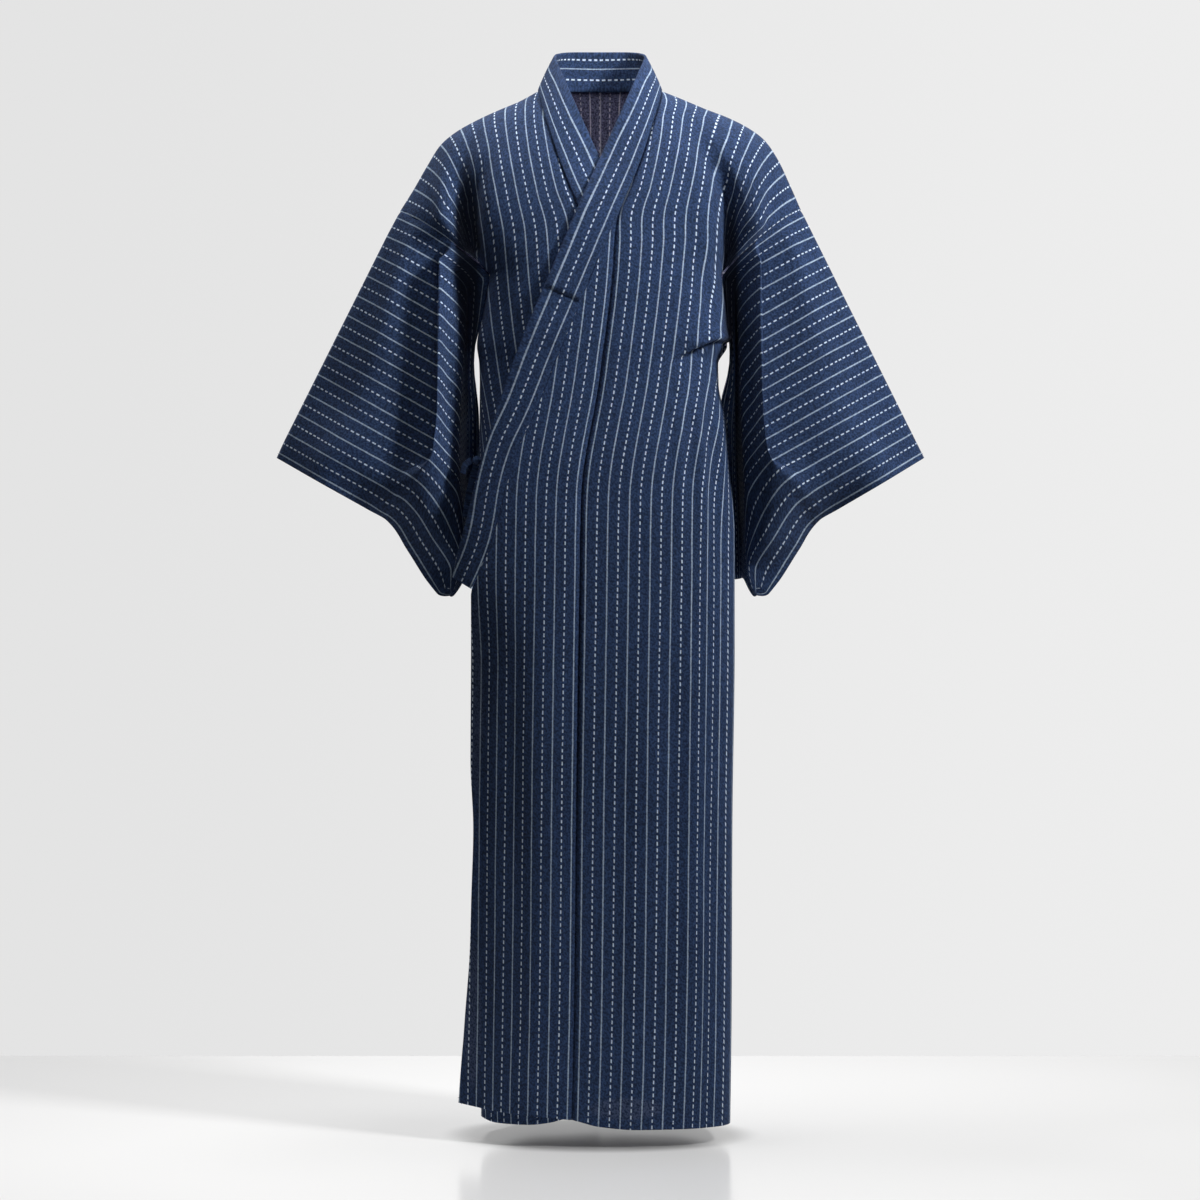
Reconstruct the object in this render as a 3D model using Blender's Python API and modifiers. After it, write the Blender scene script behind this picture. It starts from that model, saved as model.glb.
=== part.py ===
"""Cotton yukata robe: the cut pieces as thin walls, in the pose of a worn garment.

The origin lies between the shoulders at the base of the neck, where the wearer carries the
robe. +Z is up, the front faces -Y, and +X is the wearer's left. Sizes and points are in
centimetres up to the meshes, which are made in metres.
"""
import math

import bmesh
import bpy
import numpy as np

CM = 0.01                   # metres in one unit of the sizes below
PANEL_WALL = 0.15           # cloth of the panels and sleeves
COLLAR_WALL = 0.22          # folded collar, several layers thick
OVER_COLLAR_WALL = 0.11     # band sewn over the collar
TIE_WALL = 0.12
SEAM_GAP = 0.04             # clearance between two pieces at a seam
LAYER_GAP = 0.65            # outer front to the under front that it laps over
POUCH = 0.8                 # spacing of a sleeve's two layers along its sewn edges

CHEST = -24.0               # height where the slope of the shoulder has become upright
NECK_POINT = (8.2, 0.0, 0.4)
OVERLAP_TOP = -13.3         # the overlap panels begin here, under the collar
COLLAR_END = -65.3          # below it the outer front has a free edge
HEM = -134.8
CENTRE = 0.85               # middle of the body's tube, a little to the wearer's left
FRONT_FLATNESS = 2.5        # exponents of the rounded sections, 2 is an ellipse
BACK_FLATNESS = 2.3
EDGE_DROP = 3.0             # how far back the free edge of the outer front swings
TUCK_START = 12.5           # from here the under front follows the body's side closely
NECK_SHARE = 0.28           # part of the back panel's width that lies behind the neck

LEFT, RIGHT = 1, -1         # the wearer's sides, and the sign of X there
SIDE_NAME = {LEFT: "left", RIGHT: "right"}

FRONT_CELLS = 14            # cells across a front panel
NECK_CELLS = 6              # more cells across the back, behind the neck
OVERLAP_CELLS = 6
SWEEP = 60                  # fine steps from which a row of a panel is spaced out
SLOPE_ROWS = (0.0, 0.16, 0.32, 0.48, 0.60, 0.711, 0.85, 1.0)    # shoulder line to chest
LEVEL_ROWS = (-28.9, -33.2, -35.6, -38.5, -43.0, -49.0, -57.0, COLLAR_END, -66.8, -76.0,
              -88.0, -100.0, -112.0, -124.0, HEM)


class Table:
    """A short table of sizes, read between its rows along a smooth monotone curve."""

    def __init__(self, columns, rows):
        self.names = columns.split()
        self.rows = np.array(sorted(rows), dtype=float)

    def at(self, name, where):
        return smooth(self.rows[:, 0], self.rows[:, self.names.index(name)], where)


def smooth(knots, values, where):
    """Monotone cubic through the knots, flat beyond both ends."""
    step = np.diff(knots)
    rise = np.diff(values) / step
    slope = np.concatenate(([rise[0]], np.zeros(len(knots) - 2), [rise[-1]]))
    for i in range(1, len(knots) - 1):
        if rise[i - 1] * rise[i] > 0:
            before = 2 * step[i] + step[i - 1]
            after = step[i] + 2 * step[i - 1]
            slope[i] = (before + after) / (before / rise[i - 1] + after / rise[i])
    where = min(max(where, knots[0]), knots[-1])
    i = min(int(np.searchsorted(knots, where, side="right")) - 1, len(step) - 1)
    t = (where - knots[i]) / step[i]
    start = values[i] * (1 + 2 * t) * (1 - t) ** 2 + slope[i] * step[i] * t * (1 - t) ** 2
    end = values[i + 1] * t * t * (3 - 2 * t) - slope[i + 1] * step[i] * t * t * (1 - t)
    return float(start + end)


# How far each side, the front and the back stand out at each height. side_front and
# side_back are the depths of the armhole's two edges, which meet at the armpit.
BODY = Table("height left right front side_front side_back back", [
    (-24.0, 16.0, 14.4, -11.4, -2.6, 3.6, 11.8),
    (-28.9, 16.4, 15.3, -11.5, -1.5, 2.0, 11.6),
    (-33.2, 16.8, 16.2, -11.5, -0.5, -0.5, 11.3),
    (-35.6, 15.6, 15.9, -11.2, -0.9, -0.9, 11.0),
    (-38.5, 15.6, 15.8, -11.1, -1.6, -1.6, 10.8),
    (-43.0, 16.5, 15.8, -11.2, -2.5, -2.5, 10.9),
    (-49.0, 16.9, 16.0, -11.4, -3.4, -3.4, 11.4),
    (-58.0, 17.6, 16.2, -11.7, -4.2, -4.2, 12.4),
    (-72.0, 17.6, 16.2, -11.8, -4.5, -4.5, 12.9),
    (-96.0, 17.3, 15.9, -11.7, -4.5, -4.5, 12.8),
    (-120.0, 17.2, 15.7, -11.6, -4.5, -4.5, 12.5),
    (-136.0, 17.0, 15.5, -11.4, -4.5, -4.5, 12.3),
])

# The shoulder line, from the neck point to the top of the sleeve seam.
SHOULDER = Table("share left_x left_z right_x right_z", [
    (0.00, 8.2, 0.4, 8.2, 0.4),
    (0.12, 11.0, -0.7, 10.6, -0.9),
    (0.25, 13.9, -1.9, 13.5, -2.1),
    (0.38, 16.8, -3.0, 16.3, -3.4),
    (0.50, 19.4, -4.3, 18.8, -4.8),
    (0.62, 21.6, -5.9, 21.0, -6.6),
    (0.75, 23.5, -8.6, 22.8, -9.4),
    (0.88, 25.1, -12.0, 24.7, -12.7),
    (1.00, 26.5, -15.2, 26.4, -15.4),
])

# The armhole edge from the top of the sleeve seam to the chest: how much of the way it has
# gone inwards and down, and how far it swells to the front and to the back.
ARMHOLE = Table("share inwards down swell", [
    (0.00, 0.00, 0.00, 0.0),
    (0.22, 0.22, 0.17, 2.7),
    (0.48, 0.50, 0.44, 3.6),
    (0.75, 0.78, 0.74, 2.2),
    (1.00, 1.00, 1.00, 0.0),
])

# The fold between chest and upper arm: how far out it lies on each side, and its depth.
ARM_FOLD = Table("height left right depth", [
    (-28.0, 15.0, 14.0, 0.0), (-24.0, 15.6, 14.6, 0.9), (-20.0, 16.6, 16.4, 1.5),
    (-15.5, 16.8, 17.4, 1.3), (-11.5, 15.9, 18.1, 0.9), (-8.5, 14.2, 17.9, 0.5),
    (-3.5, 12.0, 16.0, 0.0),
])
ARM_FOLD_WIDTH = 1.8
BACK_ARM_FOLD = 0.6         # depth of that fold on the back, as a part of the front's

# Edges of the outer front, across its width; the under front mirrors them.
OVERLAP_SEAM = Table("height x", [
    (-13.3, 3.9), (-18.2, 2.1), (-25.0, 1.6), (-38.0, 0.0), (-53.9, -2.4), (-66.7, -2.6),
    (-92.4, -2.95), (-115.7, -3.2), (-136.0, -3.6),
])
FREE_EDGE = Table("height x", [
    (-136.0, -18.5), (-128.5, -18.1), (-121.3, -17.6), (-112.0, -16.9), (-105.5, -16.7),
    (-96.4, -16.4), (-87.4, -16.8), (-65.3, -16.7),
])
HEM_RISE = Table("x rise", [
    (-18.5, 3.3), (-12.0, 2.4), (-3.6, 1.3), (0.0, 0.4), (5.0, 0.0), (17.0, 0.0),
])

# The collar's two edges, from its end at the hip, over the chest, to the nape.
COLLAR = Table("station seam_x seam_z neck_x neck_z", [
    (0, -16.0, -65.3, -19.2, -63.7),
    (1, -14.9, -62.0, -18.5, -60.6),
    (2, -13.5, -57.7, -17.4, -56.5),
    (3, -12.2, -52.6, -16.1, -51.2),
    (4, -10.6, -47.4, -14.5, -45.8),
    (5, -8.5, -43.0, -12.9, -40.8),
    (6, -5.7, -36.0, -10.3, -33.6),
    (7, -2.7, -28.9, -7.4, -26.8),
    (8, 1.4, -19.1, -3.3, -17.1),
    (9, 4.8, -11.0, 0.5, -8.2),
    (10, 6.3, -6.6, 3.1, -2.2),
    (11, 7.5, -2.6, 4.9, 2.2),
    (12, 8.2, 0.4, 6.0, 5.3),
    (13, 7.3, 0.9, 5.5, 6.2),
    (14, 4.2, 1.2, 3.6, 6.7),
    (15, 0.0, 1.3, 0.0, 6.8),
])
COLLAR_NECK_DEPTH = {9: -8.1, 10: -6.2, 11: -3.4, 12: 1.0, 13: 4.2, 14: 6.5, 15: 7.1}
COLLAR_SEAM_DEPTH = {12: 0.0, 13: 3.3, 14: 5.8, 15: 6.6}
NAPE = 15                   # station at the middle of the back neck
OVER_COLLAR_END = -28.9     # height of the over-collar's end seam
NECK_SIDE = 12              # station at the neck point

# The sleeve's front layer, from the armhole (share 0) to the wrist (share 1). A line of
# cloth starts at the fold over the arm, swells forward, bends at the upright ridge, runs
# back into the valley beside the body, and ends at the bottom seam.
SLEEVE = Table("share swell bend_x bend_y bend_z inner_x inner_y inner_z"
               " deep_x deep_y deep_z bottom_x bottom_z", [
    (0.10, 0.8, 20.9, -6.3, -22.4, 17.9, -3.0, -26.8, 17.9, -1.2, -36.0, 18.6, -62.9),
    (0.25, 0.9, 20.9, -7.4, -29.0, 18.1, -3.4, -33.5, 18.1, -1.4, -41.0, 18.8, -63.3),
    (0.40, 1.0, 21.0, -8.2, -35.3, 18.4, -3.6, -40.0, 18.4, -1.5, -47.0, 19.0, -63.9),
    (0.55, 1.0, 21.1, -8.9, -41.3, 18.7, -3.8, -46.5, 18.7, -1.5, -53.0, 19.3, -64.6),
    (0.70, 1.2, 21.7, -9.2, -47.2, 19.0, -4.2, -52.5, 18.9, -1.4, -58.0, 19.7, -65.4),
    (0.85, 2.6, 25.2, -7.0, -51.8, 21.4, -4.6, -57.5, 19.5, -1.0, -62.0, 20.3, -66.3),
    (1.00, 5.0, 28.9, -1.2, -56.2, 26.2, -0.4, -60.2, 23.8, 0.0, -64.0, 21.2, -67.2),
])
SLEEVE_TOP = (26.5, 0.0, -15.2)
WRIST_TOP = (42.9, 1.0, -47.9)
SLEEVE_SHARES = (0.1, 0.2, 0.3, 0.42, 0.54, 0.66, 0.77, 0.86, 0.93, 1.0)
SLEEVE_KNOTS = (0.0, 0.16, 0.32, 0.54, 0.72, 1.0)    # fold, swell, bend, inner, deep, bottom
SLEEVE_ROWS = (0.0, 0.08, 0.16, 0.24, 0.32, 0.39, 0.46, 0.54, 0.63, 0.72, 0.80, 0.88,
               0.94, 1.0)
ARMPIT_ROW = 9              # row of the sleeve where the armhole ends
WRIST_ROW = 4               # row of the sleeve where the wrist opening ends
INNER_SEAM = ((-41.0, 0.7), (-49.0, 0.6), (-56.5, 0.5), (-62.5, 0.5))  # height, clearance

# The side tie: its knot, and for each flat strap the way its width lies and its path.
KNOT = (-15.95, -8.0, -48.6)
KNOT_REACH = (0.60, 0.50, 0.58)
TIE_WIDTH = 0.75
TIE_STRAPS = {
    "tie_front": ((0, 0, 1), ((-13.1, -9.20, -47.9), (-13.9, -8.95, -48.1),
                              (-14.7, -8.55, -48.4), (-15.28, -8.05, -48.6))),
    "tie_side": ((0, 0, 1), ((-16.05, -7.48, -48.65), (-16.3, -6.3, -48.9),
                             (-16.35, -5.0, -49.0), (-16.07, -3.7, -49.1))),
    "tie_end_long": ((1, 0, 0), ((-16.0, -8.05, -49.26), (-16.4, -8.0, -50.6),
                                 (-17.0, -7.9, -53.0), (-17.4, -7.7, -56.0))),
    "tie_end_short": ((0, 0, 1), ((-16.58, -8.0, -48.66), (-17.0, -8.0, -48.8),
                                  (-17.5, -7.9, -49.3), (-17.8, -7.8, -50.3))),
}
STRAP_CELLS = 9


def mix(a, b, t):
    return a + (b - a) * t


def ease(t):
    t = min(max(t, 0.0), 1.0)
    return t * t * (3 - 2 * t)


def resample(points, count):
    """count + 1 points at even distances along a polyline."""
    points = np.array(points)
    reach = np.concatenate(([0.0], np.cumsum(np.linalg.norm(np.diff(points, axis=0), axis=1))))
    marks = np.linspace(0.0, reach[-1], count + 1)
    return np.array([[np.interp(m, reach, points[:, k]) for k in range(3)] for m in marks])


# ------------------------------------------------------------------ the body's surfaces

def half_width(side, height):
    return BODY.at(SIDE_NAME[side], height)


def waist_tuck(across, height, own):
    """Cloth blouses over the waist at the side: a crease that dies out towards the front."""
    reach = ease((across - 8.5) / 5.0) * (1 - ease((across - own) / 1.8 + 1))
    below = ease((-34.2 - height) / 1.2) * (1 - ease((-36.0 - height) / 8.0))
    above = ease((height + 34.2) / 1.0) * (1 - ease((height + 32.0) / 7.0))
    return reach * (0.25 * below - 0.55 * above)


def side_ripples(across, height, own):
    """Soft upright ripples below the waist, near the side seam."""
    band = ease((across - 8.0) / 2.5) * (1 - ease((across - own) / 1.8 + 1))
    run = ease((-37.0 - height) / 5.0) * (1 - ease((-52.0 - height) / 14.0))
    return 0.22 * band * run * math.sin(2 * math.pi * (across - 8.0) / 3.1)


def front_depth(side, across, height):
    """Depth of a front layer. across is measured towards the layer's own side seam."""
    level = min(height, CHEST)
    centre = CENTRE * side
    own = half_width(side, level)
    edge = BODY.at("side_front", level)
    face = BODY.at("front", level) + (0.0 if side == LEFT else LAYER_GAP)
    if across >= centre:
        out = min((across - centre) / (own - centre), 1.0)
        depth = edge + (face - edge) * (1 - out ** FRONT_FLATNESS) ** (1 / FRONT_FLATNESS)
    elif side == LEFT:
        depth = face + EDGE_DROP * ((centre - across) / (centre + 17.0)) ** 3
    else:
        far = half_width(LEFT, level) - LAYER_GAP - 0.2
        out = min((centre - across) / (centre + far), 1.0)
        edge += 0.4
        depth = edge + (face - edge) * (1 - out ** FRONT_FLATNESS) ** (1 / FRONT_FLATNESS)
    if side == LEFT:
        depth += waist_tuck(across, height, own) + side_ripples(across, height, own)
    if height > CHEST:
        drop = (NECK_POINT[2] - height) / (NECK_POINT[2] - CHEST)
        depth = mix(NECK_POINT[1], depth, math.sqrt(max(0.0, 1 - (1 - drop) ** 2)))
    return depth


def back_depth(side, across, height):
    centre = CENTRE * side
    out = min(abs(across - centre) / (half_width(side, height) - centre), 1.0)
    edge = BODY.at("side_back", height)
    rounding = (1 - out ** BACK_FLATNESS) ** (1 / BACK_FLATNESS)
    return mix(edge, BODY.at("back", height), rounding)


def back_folds(height, share):
    """Hanging folds of the back, which deepen downwards and end before the side."""
    wave = 0.55 * math.cos(2 * math.pi * 2.5 * share) * (1 - ease((share - 0.72) / 0.28))
    return wave * ease((-30 - height) / 45)


def front_row(side, inner, height, count):
    """Points across a front panel at one height, from its inner edge to the side."""
    outer = half_width(side, height)
    sweep = [mix(inner, outer, math.sin(t * math.pi / 2)) for t in np.linspace(0, 1, SWEEP)]
    return resample([(a, front_depth(side, a, height), height) for a in sweep], count)


def back_row(side, height):
    """Fine points across a back panel at one height, with the folds that start low down."""
    outer = half_width(side, height)
    sweep = [mix(SEAM_GAP, outer, math.sin(t * math.pi / 2)) for t in np.linspace(0, 1, SWEEP)]
    line = resample([(a, back_depth(side, a, height), height) for a in sweep], SWEEP)
    for k, point in enumerate(line):
        point[1] += back_folds(height, k / SWEEP)
    return line


def shoulder_point(side, share):
    name = SIDE_NAME[side]
    return np.array([SHOULDER.at(name + "_x", share), 0.0, SHOULDER.at(name + "_z", share)])


def armhole_point(side, share, face):
    """A point of the armhole edge between shoulder and chest; face is -1 front, 1 back."""
    top = shoulder_point(side, 1.0)
    depth = BODY.at("side_front" if face < 0 else "side_back", CHEST)
    return np.array([
        mix(top[0], half_width(side, CHEST), ARMHOLE.at("inwards", share)),
        mix(0.0, depth, share) + face * ARMHOLE.at("swell", share),
        mix(top[2], CHEST, ARMHOLE.at("down", share)),
    ])


def slope_point(top, chest, turn):
    """A quarter ellipse from the shoulder line, level there, to the chest, upright there."""
    angle = turn * math.pi / 2
    return np.array([
        mix(top[0], chest[0], turn),
        mix(top[1], chest[1], math.sin(angle)),
        mix(top[2], chest[2], 1 - math.cos(angle)),
    ])


def arm_fold(side, point, share):
    """Depth of the fold between chest and arm.

    It dies out before the armhole edge, and towards the shoulder line, where front and back
    lie close together.
    """
    middle = ARM_FOLD.at(SIDE_NAME[side], point[2])
    profile = math.exp(-((point[0] - middle) / ARM_FOLD_WIDTH) ** 2)
    profile *= (1 - ease((share - 0.82) / 0.18)) * ease(abs(point[1]) / 6)
    return ARM_FOLD.at("depth", point[2]) * profile


def collar_seam_x(height):
    return smooth(COLLAR.rows[:NECK_SIDE + 1, 2], COLLAR.rows[:NECK_SIDE + 1, 1], height)


def seam_x(height):
    """Inner edge of a front panel: the collar seam, then the seam to the overlap."""
    return collar_seam_x(height) if height >= OVERLAP_TOP else OVERLAP_SEAM.at("x", height)


def slope_height(turn):
    return mix(NECK_POINT[2], CHEST, 1 - math.cos(turn * math.pi / 2))


def front_grid(side):
    """Rows of a front panel from the shoulder line to the hem."""
    chest = front_row(side, seam_x(CHEST), CHEST, FRONT_CELLS)
    rows = []
    for turn in SLOPE_ROWS:
        row = []
        outer = slope_point(shoulder_point(side, 1.0), chest[-1], turn)
        swing = armhole_point(side, turn, -1) - outer
        for k, low in enumerate(chest):
            share = k / FRONT_CELLS
            point = slope_point(shoulder_point(side, share), low, turn)
            point += swing * share ** 3
            point += inner_pull(side, chest[0], turn) * (1 - share) ** 2
            point[1] += arm_fold(side, point, share)
            row.append(point)
        rows.append(row)
    for height in LEVEL_ROWS:
        rows.append(front_row(side, seam_x(height), height, FRONT_CELLS))
    return lift_hem(rows, side)


def inner_pull(side, low, turn):
    """What brings a front panel's inner edge from its plain slope on to the collar seam."""
    plain = slope_point(shoulder_point(side, 0.0), low, turn)
    across = seam_x(plain[2])
    return np.array([across - plain[0], front_depth(side, across, plain[2]) - plain[1], 0.0])


def back_grid(side):
    """Rows of a back panel; its first cells lie behind the neck."""
    chest = spread_back(back_row(side, CHEST))
    rows = []
    for turn in SLOPE_ROWS:
        row = []
        swing = armhole_point(side, turn, 1) - slope_point(
            shoulder_point(side, 1.0), chest[-1], turn)
        for k, low in enumerate(chest):
            if k < NECK_CELLS:
                top = nape_edges(NAPE - (NAPE - NECK_SIDE) * k / NECK_CELLS)[0]
                top = np.array([max(top[0], SEAM_GAP), top[1], top[2]])
            else:
                top = shoulder_point(side, (k - NECK_CELLS) / FRONT_CELLS)
            share = max(0.0, (k - NECK_CELLS) / FRONT_CELLS)
            point = slope_point(top, low, turn) + swing * share ** 3
            point[1] -= BACK_ARM_FOLD * arm_fold(side, point, share)
            row.append(point)
        rows.append(row)
    for height in LEVEL_ROWS:
        rows.append(spread_back(back_row(side, height)))
    return lift_hem(rows, side)


def spread_back(line):
    """Columns of the back: a few behind the neck, then as many as the front has."""
    marks = [NECK_SHARE * k / NECK_CELLS for k in range(NECK_CELLS)]
    marks += [mix(NECK_SHARE, 1.0, k / FRONT_CELLS) for k in range(FRONT_CELLS + 1)]
    fine = np.linspace(0.0, 1.0, len(line))
    return np.array([[np.interp(m, fine, line[:, k]) for k in range(3)] for m in marks])


def overlap_grid(side):
    """Rows of an overlap panel, from its point under the collar to the hem."""
    heights = [slope_height(t) for t in SLOPE_ROWS[-2:]]
    rows = []
    for height in heights + list(LEVEL_ROWS):
        seam = seam_x(height) - SEAM_GAP
        edge = collar_seam_x(height) if height >= COLLAR_END else FREE_EDGE.at("x", height)
        edge = (tucked(edge) if side == RIGHT else edge) + SEAM_GAP
        edge = min(edge, seam - 0.2)
        sweep = [mix(edge, seam, t) for t in np.linspace(0, 1, SWEEP)]
        rows.append(resample([(a, front_depth(side, a, height), height) for a in sweep],
                             OVERLAP_CELLS))
    return lift_hem(rows, side)


def lift_hem(rows, side):
    """The hem hangs lower at the middle front; the last row follows it."""
    if side == LEFT:
        rows[-1] = [np.array([p[0], p[1], p[2] + HEM_RISE.at("rise", p[0])]) for p in rows[-1]]
    return [[np.array([side * p[0], p[1], p[2]]) for p in row] for row in rows]


# ------------------------------------------------------------------------- the collar

def tucked(across):
    """The under front's far edges stay inside the outer front, round its side."""
    return across if across > -TUCK_START else -TUCK_START + 0.35 * (across + TUCK_START)


def collar_controls(side, edge, first, last):
    """Known points of one edge of the collar, from one station to another."""
    known = COLLAR_NECK_DEPTH if edge == "neck" else COLLAR_SEAM_DEPTH
    points = []
    for k in range(first, last + 1):
        across, height = COLLAR.at(edge + "_x", k), COLLAR.at(edge + "_z", k)
        across = tucked(across) if side == RIGHT else across
        depth = known[k] if k in known else front_depth(side, across, height)
        if k in known and k < NECK_SIDE and side == RIGHT:
            depth += LAYER_GAP
        points.append((across, depth, height))
    return np.arange(first, last + 1, dtype=float), np.array(points)


def along(knots, points, where):
    return np.array([smooth(knots, points[:, k], where) for k in range(3)])


def chest_edges(side, height):
    """Seam edge and neck edge of the collar where its seam passes a height."""
    chest = COLLAR.rows[:NECK_SIDE + 1]
    station = smooth(chest[:, 2], chest[:, 0], height)
    across = collar_seam_x(height)
    across = tucked(across) if side == RIGHT else across
    seam = np.array([across, front_depth(side, across, height), height])
    return seam, along(*collar_controls(side, "neck", 0, NAPE), station)


def nape_edges(station):
    """Seam edge and neck edge of the collar behind the neck point."""
    seam = along(*collar_controls(LEFT, "seam", NECK_SIDE, NAPE), station)
    return seam, along(*collar_controls(LEFT, "neck", 0, NAPE), station)


def collar_grid(lowest):
    """Cross rows of the collar from one end, round the neck, to the other end."""
    heights = [h for h in reversed(LEVEL_ROWS) if h >= lowest]
    heights += [slope_height(t) for t in reversed(SLOPE_ROWS)]
    behind = [mix(NECK_SIDE, NAPE, k / NECK_CELLS) for k in range(1, NECK_CELLS + 1)]
    rows = []
    for side in (LEFT, RIGHT):
        half = [chest_edges(side, h) for h in heights] + [nape_edges(s) for s in behind]
        if side == RIGHT:
            half = half[-2::-1]
        for seam, neck in half:
            seam = seam + (neck - seam) * SEAM_GAP / np.linalg.norm(neck - seam)
            row = [mix(seam, neck, t) for t in (0.0, 1 / 3, 2 / 3, 1.0)]
            rows.append([np.array([side * p[0], p[1], p[2]]) for p in row])
    return np.array(rows)


def moved_out(grid, distance):
    """A grid moved along its own normals."""
    grid = np.array(grid)
    normal = np.cross(np.gradient(grid, axis=0), np.gradient(grid, axis=1))
    normal /= np.linalg.norm(normal, axis=2, keepdims=True)
    return grid + normal * distance


# ------------------------------------------------------------------------ the sleeves

def sleeve_line(side, share, face):
    """One line of cloth of a sleeve layer, from the fold to the bottom seam."""
    fold = np.array([mix(a, b, share) for a, b in zip(SLEEVE_TOP, WRIST_TOP)])
    fold[0] = mix(shoulder_point(side, 1.0)[0], WRIST_TOP[0], share)
    bend, inner, deep = (np.array([SLEEVE.at(f"{part}_{axis}", share) for axis in "xyz"])
                         for part in ("bend", "inner", "deep"))
    bottom = np.array([SLEEVE.at("bottom_x", share), 0.0, SLEEVE.at("bottom_z", share)])
    swell = mix(fold, bend, 0.47) + np.array([0.0, -SLEEVE.at("swell", share), 0.0])
    points = np.array([fold, swell, bend, inner, deep, bottom])
    line = np.array([[smooth(np.array(SLEEVE_KNOTS), points[:, k], t) for k in range(3)]
                     for t in SLEEVE_ROWS])
    return face_and_side(line, side, face)


def face_and_side(line, side, face):
    """The back layer mirrors the front one; the wearer's right sleeve hangs closer in."""
    line = np.array(line)
    if face > 0:
        line[1:, 1] = POUCH - line[1:, 1]
    if side == RIGHT:
        line[:, 0] -= np.array([0.8 * ease((-45 - z) / 12) for z in line[:, 2]])
        line[:, 0] -= np.array([0.5 * (1 - ease((x - 17) / 3)) for x in line[:, 0]])
    return line


def armhole_line(side, face):
    """The sleeve's edge: along the armhole to the armpit, then its own inner seam."""
    line = [armhole_point(side, turn, face) for turn in SLOPE_ROWS]
    name = "side_front" if face < 0 else "side_back"
    for height in LEVEL_ROWS[:2]:
        line.append(np.array([half_width(side, height), BODY.at(name, height), height]))
    for height, clear in INNER_SEAM:
        depth = 0.0 if face < 0 else POUCH
        line.append(np.array([max(half_width(side, height), 15.9) + clear, depth, height]))
    return np.array(line)


def sleeve_grids(side):
    """The front and the back layer, as lines of cloth from the armhole to the wrist."""
    grids = []
    for face in (-1, 1):
        edge = armhole_line(side, face)
        lines = [sleeve_line(side, share, face) for share in SLEEVE_SHARES]
        lead = lines[0] - edge
        reach = np.linalg.norm(lead, axis=1, keepdims=True)
        start = edge + lead / reach * SEAM_GAP
        start[ARMPIT_ROW] += np.array([0.25, 0.15 * face, 0.0])
        grids.append(np.array([start] + lines) * (side, 1, 1))
    grids[1][:, 0] = grids[0][:, 0]
    return grids


# --------------------------------------------------------------------- making objects

def cloth_material(name, colour, roughness):
    material = bpy.data.materials.new(name)
    material.use_nodes = True
    shader = material.node_tree.nodes["Principled BSDF"]
    shader.inputs["Base Color"].default_value = (*colour, 1.0)
    shader.inputs["Roughness"].default_value = roughness
    shader.inputs["Metallic"].default_value = 0.0
    return material


def add_grid(mesh, grid, flip):
    """Quads between the rows of a grid, wound so that they face out."""
    rows = [[mesh.verts.new(tuple(p * CM)) for p in row] for row in grid]
    for upper, lower in zip(rows, rows[1:]):
        for k in range(len(upper) - 1):
            corners = [upper[k], lower[k], lower[k + 1], upper[k + 1]]
            mesh.faces.new(corners[::-1] if flip else corners)
    return rows


def wall(name, mesh, thickness, colour, collection):
    """One named wall from its outer surface, whose faces point out."""
    bmesh.ops.remove_doubles(mesh, verts=mesh.verts, dist=0.00002)
    data = bpy.data.meshes.new(name)
    mesh.to_mesh(data)
    mesh.free()
    data.shade_smooth()
    piece = bpy.data.objects.new(name, data)
    collection.objects.link(piece)
    data.materials.append(cloth_material(name + "_cloth", colour, 0.85))
    solidify = piece.modifiers.new("wall", "SOLIDIFY")
    solidify.thickness = thickness * CM
    solidify.offset = -1.0
    return piece


NAVY = (0.022, 0.040, 0.095)
DEEP_NAVY = (0.016, 0.030, 0.075)


def make_body(side, collection):
    mesh = bmesh.new()
    add_grid(mesh, front_grid(side), flip=side == RIGHT)
    add_grid(mesh, back_grid(side), flip=side == LEFT)
    wall(f"body_{SIDE_NAME[side]}", mesh, PANEL_WALL, NAVY, collection)


def make_overlap(side, collection):
    mesh = bmesh.new()
    add_grid(mesh, overlap_grid(side), flip=side == RIGHT)
    wall(f"overlap_{SIDE_NAME[side]}", mesh, PANEL_WALL, NAVY, collection)


def make_sleeve(side, collection):
    mesh = bmesh.new()
    front, back = sleeve_grids(side)
    mirrored = side == RIGHT
    add_grid(mesh, front, flip=not mirrored)
    add_grid(mesh, back, flip=mirrored)
    add_grid(mesh, (front[:, -1], back[:, -1]), flip=mirrored)
    add_grid(mesh, (front[0, ARMPIT_ROW:], back[0, ARMPIT_ROW:]), flip=mirrored)
    add_grid(mesh, (front[-1, WRIST_ROW:], back[-1, WRIST_ROW:]), flip=not mirrored)
    wall(f"sleeve_{SIDE_NAME[side]}", mesh, PANEL_WALL, NAVY, collection)


def make_collar(collection):
    mesh = bmesh.new()
    add_grid(mesh, collar_grid(lowest=COLLAR_END), flip=False)
    wall("collar", mesh, COLLAR_WALL, DEEP_NAVY, collection)
    mesh = bmesh.new()
    covered = collar_grid(lowest=OVER_COLLAR_END)
    add_grid(mesh, moved_out(covered, SEAM_GAP + OVER_COLLAR_WALL), flip=False)
    wall("over_collar", mesh, OVER_COLLAR_WALL, NAVY, collection)


def strap_grid(wide, path):
    """The two edges of a flat strap along a path."""
    knots = np.arange(len(path), dtype=float)
    marks = np.linspace(0, len(path) - 1, STRAP_CELLS + 1)
    points = np.array([along(knots, np.array(path), t) for t in marks])
    ahead = np.gradient(points, axis=0)
    ahead /= np.linalg.norm(ahead, axis=1, keepdims=True)
    width = np.array(wide) - ahead * (ahead @ np.array(wide))[:, None]
    width *= TIE_WIDTH / 2 / np.linalg.norm(width, axis=1, keepdims=True)
    return [points + width, points - width]


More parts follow.
